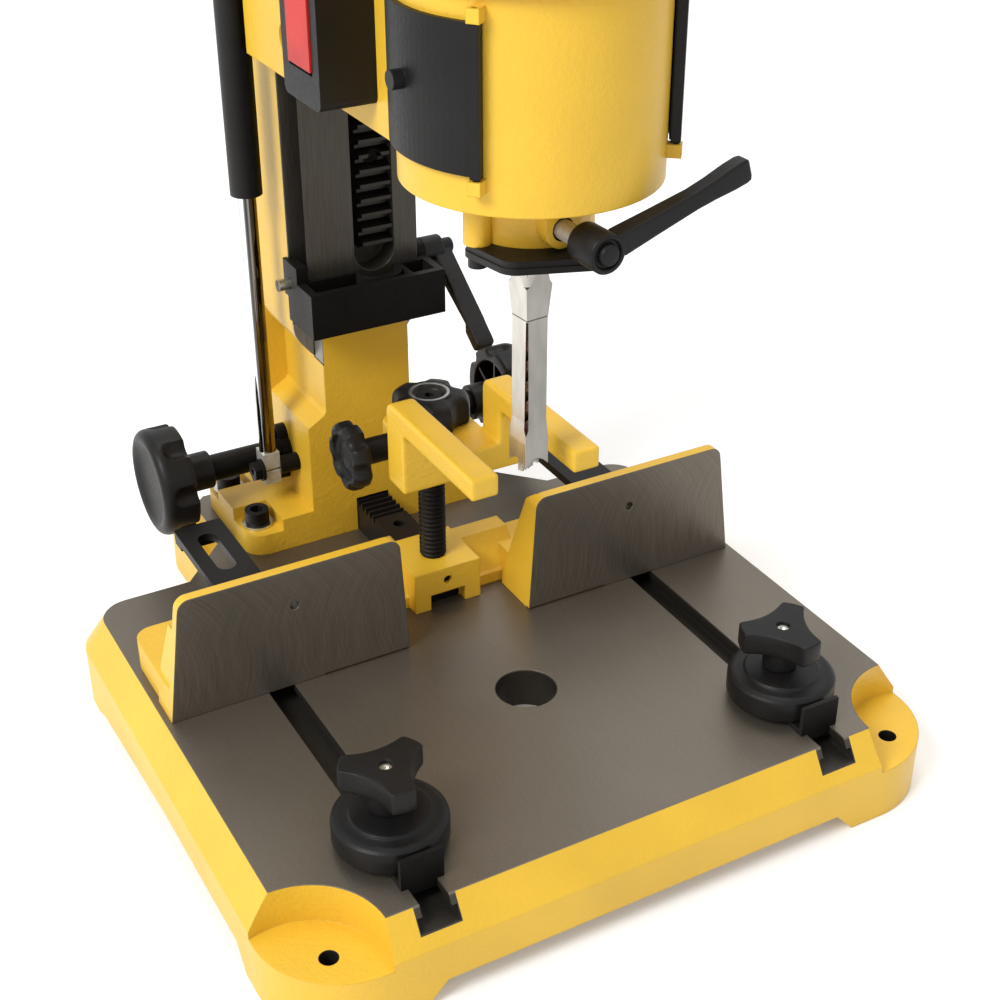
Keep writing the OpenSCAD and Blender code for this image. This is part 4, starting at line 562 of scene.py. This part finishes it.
def hold_in(side, name, phase):
    bm = bmesh.new()
    bolt = Matrix.Translation((side * T_SLOT_X, CLAMP_BOLT_Y, 0))
    profile = [(5.1, 22.9), (10.2, 22.9), (10.6, 23.6), (10.4, 36.0), (25.6, 37.4), (26.2, 37.9),
               (26.5, 38.8), (26.5, 42), (26.5, 46), (26.4, 50.2), (26.1, 51.0), (25.4, 51.4), (18, 51.5),
               (8.0, 51.5), (4.6, 51.5), (4.1, 51.2), (3.9, 50.6), (3.9, 46.8), (5.1, 46.6), (5.1, 22.9)]
    turned(bm, profile, bolt, clamp_lobes(phase), 180)
    knob = piece(name + "_lobed_knob", bm, moulded, name + "_knob", name + "_clamp_knob", angle=28)
    bm = bmesh.new()
    hub = Matrix.Translation((side * T_SLOT_X, WHEEL_HUB_Y, 0))
    profile = [(31.8, 4.6), (32.8, 5.0), (33.2, 6.0), (33.2, 16.8), (32.8, 18.2), (31.6, 19.4),
               (30.2, 20.2), (28, 20.5), (24.6, 20.6), (23.6, 21.0), (23.2, 21.8), (22.6, 22.4),
               (21.6, 22.6), (12, 22.6)]
    rim = turned(bm, profile, hub, None, 120)
    hole = turned(bm, [(5.15, 22.6), (5.15, 4.6)], bolt, None, 120)
    bridge(bm, rim[-1], hole[0])
    bridge(bm, hole[1], rim[0])
    wheel = piece(name + "_eccentric_wheel", bm, moulded, name + "_wheel", name + "_wheel", angle=28)


hold_in(-1, "left", math.radians(148))
hold_in(1, "right", math.radians(158))
dress(zinc, "left_clamp_bolt", "right_clamp_bolt")

# Depth stop: a black block round the way, with an adjusting screw at the left.
# A moulded clamp lever at its right holds it at a height.
ARM_CORNER = 0.22
ARM_STEPS = 40


def swept_arm(bm, place, stations):
    """Blends oblong sections with tight corners along the arm's own -Z: (distance, y, y, x, x) in mm."""
    rings = []
    for along, y_low, y_high, x_low, x_high in stations:
        ring = []
        for k in range(ARM_STEPS):
            a = 2 * math.pi * (k + 0.5) / ARM_STEPS
            c, d = math.cos(a), math.sin(a)
            y = (y_low + y_high) / 2 + math.copysign(abs(c) ** ARM_CORNER, c) * (y_high - y_low) / 2
            x = (x_low + x_high) / 2 + math.copysign(abs(d) ** ARM_CORNER, d) * (x_high - x_low) / 2
            ring.append(bm.verts.new(place @ Vector((x * 0.001, y * 0.001, -along * 0.001))))
        rings.append(ring)
    for low, high in zip(rings, rings[1:]):
        bridge(bm, low, high)
    bm.faces.new(rings[0])
    bm.faces.new(rings[-1])


stop_arm = Matrix.Translation((0, 0.2324, 0.2007)) @ Matrix.Rotation(math.radians(-54), 4, "X")
across = Matrix.Rotation(math.pi / 2, 4, "Y")
bm = bmesh.new()
profile = [(0.1, 47.8), (9, 47.8), (9, 61.6), (8.5, 62.4), (7.6, 62.8), (5.9, 63.0), (5.4, 63.6), (5.4, 70.0),
           (5.1, 70.9), (4.4, 71.4), (0.1, 71.5)]
turned(bm, profile, stop_arm @ across, None, 64)
swept_arm(bm, stop_arm, [
    (0, -4, 6.4, 55.5, 68.8), (10, -4, 6.4, 55.5, 68.8), (20, -4, 5.3, 55.5, 68.8), (34, -4, 3.7, 55.5, 68.8),
    (48, -4, 1.9, 55.5, 68.8), (61.2, -4, 0.2, 55.5, 68.8), (62.6, -4, 0.5, 55.5, 68.8),
    (65.4, -4, 4.9, 55.5, 68.8), (66.2, -4, 5.4, 55.5, 68.8), (77.5, -4, 5.4, 55.5, 68.8),
    (80.2, -3.8, 5.1, 55.6, 68.7), (81.4, -3.3, 4.3, 56.1, 68.2), (82, -2.3, 3.2, 57, 67.3)])
turned(bm, [(4, 40.5), (4, 49)], stop_arm @ across, None, 32)
thing = piece("stop_clamp_handle", bm, moulded, "stop_lever", "stop_lever", angle=40)
dress(oxide, "stop_block")
dress(zinc, "stop_screw")

# Head: the carriage, arm, chuck housing and nose are one painted casting with a direct motor on top.
# A black steel plate closes the nose under the chisel's shank.
steel = bright_metal("ground_steel", (0.60, 0.575, 0.54), 0.32, (1, 1, 0.1), 90.0)
CLAMP_TURN = math.radians(2.8)
CLAMP_AXIS = (-0.0056, 0.0, 0.3195)
CLAMP_BORE_RADIUS = 0.0064


def clamp_bore(tree, where):
    along = node(tree, "VectorRotate", {"Vector": where, "Angle": -CLAMP_TURN}).outputs["Vector"]
    centred = node(tree, "VectorMath", {0: along, 1: CLAMP_AXIS}, operation="SUBTRACT").outputs["Vector"]
    front = inside(tree, where, (None, None, None), (None, 0.0, None))
    return math_node(tree, "MULTIPLY", front, bore(tree, centred, 1, CLAMP_BORE_RADIUS))


# Painted shadow: the clamp bore's inside is coloured near black, as shade inside the hole.
def bore_painted_shadow(tree, where):
    return (0.012, 0.009, 0.006)


dress(painted_casting("enamel_and_painted_bore_shadow", clamp_bore, None, bore_painted_shadow), "head_casting")
dress(enamel, "motor_body")
dress(oxide, "nose_plate", "head_screws")
dress(moulded, "cord_gland", "fan_cover", "switch_box", "cooling_fan", "left_chuck_door", "right_chuck_door",
      "feed_hub")
dress(steel, "gib", "spindle", "drill_chuck", "feed_shaft", "motor_bearings")


CHISEL_TURN = math.radians(5.8)
CHISEL_FLAT = 0.00686


def cutting_steel(name, brown, tip, scale):
    """Ground tool steel, cloudy on its faces, burnt brown where brown(tree, where) says and above its tip,
    with painted light: lighter on faces turned left, darker on faces turned right.
    """
    mat, tree, shader = material(name, (0.40, 0.385, 0.355), 0.34, 1.0)
    where = node(tree, "TexCoord").outputs["Object"]
    cloud = noise(tree, where, scale, 3.0, (1, 1, 0.45))
    grain = noise(tree, where, 260.0, 3.0, (1, 1, 0.25))
    high = inside(tree, where, (None, None, tip), (None, None, None))
    burnt = math_node(tree, "MULTIPLY", brown(tree, where), high)
    ground = tint(tree, tint(tree, (0.46, 0.44, 0.405), cloud, 0.70, 1.32), grain, 0.93, 1.06)
    # Painted light and shade: lighter on faces turned left, darker on faces turned right.
    ground = tint(tree, ground, ramp(tree, side_light(tree), 0.7, 0.3, -0.6, 0.5), 0.62, 1.30)
    step = inside(tree, where, (None, None, 0.2554), (None, None, 0.2562))
    ground = blend(tree, step, ground, (0.10, 0.085, 0.07))
    tree.links.new(blend(tree, burnt, ground, tint(tree, (0.24, 0.105, 0.075), grain, 0.7, 1.3)),
                   shader.inputs["Base Color"])
    tree.links.new(math_node(tree, "MULTIPLY_ADD", burnt, -0.75, 1.0), shader.inputs["Metallic"])
    tree.links.new(ramp(tree, cloud, 0.26, 0.44), shader.inputs["Roughness"])
    relief(tree, shader, grain, 0.00006, 0.5, 0.0003)
    return mat


def chip_ways(tree, where):
    """Inside the chisel and in its slot, below the outer faces."""
    turned_back = node(tree, "VectorRotate", {"Vector": where, "Angle": -CHISEL_TURN}).outputs["Vector"]
    parts = node(tree, "SeparateXYZ", {"Vector": turned_back}).outputs
    reach = [math_node(tree, "ABSOLUTE", parts[k]) for k in range(2)]
    return math_node(tree, "LESS_THAN", math_node(tree, "MAXIMUM", *reach), CHISEL_FLAT)


def everywhere(tree, where):
    return 1.0


dress(cutting_steel("chisel_steel", chip_ways, 0.1745, 30.0), "hollow_chisel")
dress(cutting_steel("auger_steel", everywhere, 0.1735, 60.0), "auger_bit")
dress(dark_steel, "motor_stator")
dress(black_plastic("moulded_red", (0.45, 0.02, 0.015), 0.3), "switch_paddle")

# Chisel clamp: a bright stud through the nose's front boss, with a moulded ratchet lever and its push button.
# The lever lifts off its splines to be set at another angle.
clamp = Matrix.Rotation(CLAMP_TURN, 4, "Z") @ Matrix.Translation(CLAMP_AXIS)
clamp = clamp @ Matrix.Rotation(-math.pi / 2, 4, "Z")
clamp_arm = clamp @ Matrix.Rotation(math.radians(90 + 17.5), 4, "X")
bm = bmesh.new()
profile = [(4, 57.2), (9.4, 57.2), (10.4, 57.9), (10.6, 59), (10.6, 78.2), (10.2, 78.9), (9.5, 79.2),
           (8.4, 79.2), (7.8, 78.6), (7.5, 77.2), (6.2, 77.0), (5.7, 77.4), (5.6, 80.2), (5.2, 80.9),
           (4.5, 81.1), (0.1, 81.1)]
turned(bm, profile, clamp_arm @ across, None, 72)
swept_arm(bm, clamp_arm, [
    (8.2, -5.2, 5.2, 67.8, 78.9), (9.6, -6.3, 6.3, 67.6, 79.1), (14, -6.1, 6.1, 67.7, 79.15),
    (30, -5.5, 5.5, 68.6, 79.15), (56, -4.8, 4.8, 70.1, 79.15), (68, -5.3, 5.3, 70.1, 79.15),
    (80, -6.4, 6.4, 69.9, 79.15), (88, -6.6, 6.6, 69.9, 79.1), (90.6, -6.1, 6.1, 70.3, 78.8),
    (91.8, -4.8, 4.8, 71.2, 77.9)])
lever = piece("chisel_clamp_handle", bm, moulded, "chisel_lever", "chisel_clamp_lever", angle=30)
bm = bmesh.new()
turned(bm, [(0.1, 9), (5.4, 9), (5.4, 57.6), (0.1, 57.6)], clamp_arm @ across, None, 56)
stud = piece("chisel_clamp_stud", bm, pale_zinc, "chisel_lever")

# Feed lever: a turned steel rod through the black hub, with a jam nut below and a moulded grip.
# It turns the pinion that climbs the head rack.
feed = Matrix.Translation((0.100, 0.193425, 0.412)) @ Matrix.Rotation(math.radians(30), 4, "X")
bm = bmesh.new()
profile = [(0.1, -48), (10.2, -48), (11, -47.2), (11, -40.8), (10.2, -40), (7, -40), (7, 110), (0.1, 110)]
turned(bm, profile, feed, None, 48)
rod = piece("feed_lever_rod", bm, steel, "feed", "feed_lever")
bm = bmesh.new()
profile = [(7, 104), (9.6, 104), (10.4, 105), (10.7, 110), (11.2, 125), (12.4, 150), (13.6, 175), (14, 190)]
profile += [(14 * math.cos(a * math.pi / 16), 195 + 14 * math.sin(a * math.pi / 16)) for a in range(8)]
profile += [(0.05, 209)]
turned(bm, profile, feed, None, 64)
grip = piece("feed_lever_grip", bm, moulded, "feed")

# Floor, lamps and camera: a pale studio floor half a millimetre below the feet, under a white surround.
# A large soft lamp at the left lights the part, and a weaker one fills from above and behind.
FLOOR_Z = -0.0625
FLOOR_HALF = 6
FLOOR_GLOW = 0.16
ROOM_LIGHT = 0.62
floor_mesh = bpy.data.meshes.new("floor")
corners = [(x * FLOOR_HALF, y * FLOOR_HALF, FLOOR_Z) for x, y in ((-1, -1), (1, -1), (1, 1), (-1, 1))]
floor_mesh.from_pydata(corners, [], [(0, 1, 2, 3)])
floor = bpy.data.objects.new("floor", floor_mesh)
scene.collection.objects.link(floor)
floor_mat, floor_tree, floor_shader = material("studio_floor", (0.93, 0.93, 0.93), 0.9)
floor_mesh.materials.append(floor_mat)


def seen_directly(tree):
    """1 for the camera's rays and those through reflections and glass, 0 for light that falls on things."""
    rays = node(tree, "LightPath").outputs
    return either(tree, rays["Is Camera Ray"], rays["Is Glossy Ray"], rays["Is Transmission Ray"])


floor_shader.inputs["Emission Color"].default_value = (1, 1, 1, 1)
floor_tree.links.new(math_node(floor_tree, "MULTIPLY", seen_directly(floor_tree), FLOOR_GLOW),
                     floor_shader.inputs["Emission Strength"])

world = bpy.data.worlds.new("studio")
scene.world = world
world.use_nodes = True
sky = world.node_tree
background = sky.nodes["Background"]
background.inputs["Color"].default_value = (1, 1, 1, 1)
sky.links.new(math_node(sky, "MULTIPLY_ADD", seen_directly(sky), 1 - ROOM_LIGHT, ROOM_LIGHT),
              background.inputs["Strength"])


def lamp(name, place, aim, size, watts):
    light = bpy.data.lights.new(name, "AREA")
    light.shape = "DISK"
    light.size = size
    light.energy = watts
    thing = bpy.data.objects.new(name, light)
    thing.location = place
    thing.rotation_euler = (Vector(aim) - Vector(place)).to_track_quat("-Z", "Y").to_euler()
    scene.collection.objects.link(thing)


lamp("key", (-2.2, -0.6, 2.2), (0, 0.05, 0.1), 1.4, 70)
lamp("top", (0.6, 0.6, 2.6), (0, 0.1, 0.1), 1.6, 22)

eye = bpy.data.cameras.new("eye")
eye.sensor_width = 36
eye.lens = 59.26
eye.clip_end = 50
camera = bpy.data.objects.new("eye", eye)
camera.location = (-0.41517, -0.71397, 0.63098)
camera.rotation_euler = (math.radians(90 - 30.864), 0, math.radians(-29.04))
scene.collection.objects.link(camera)
scene.camera = camera
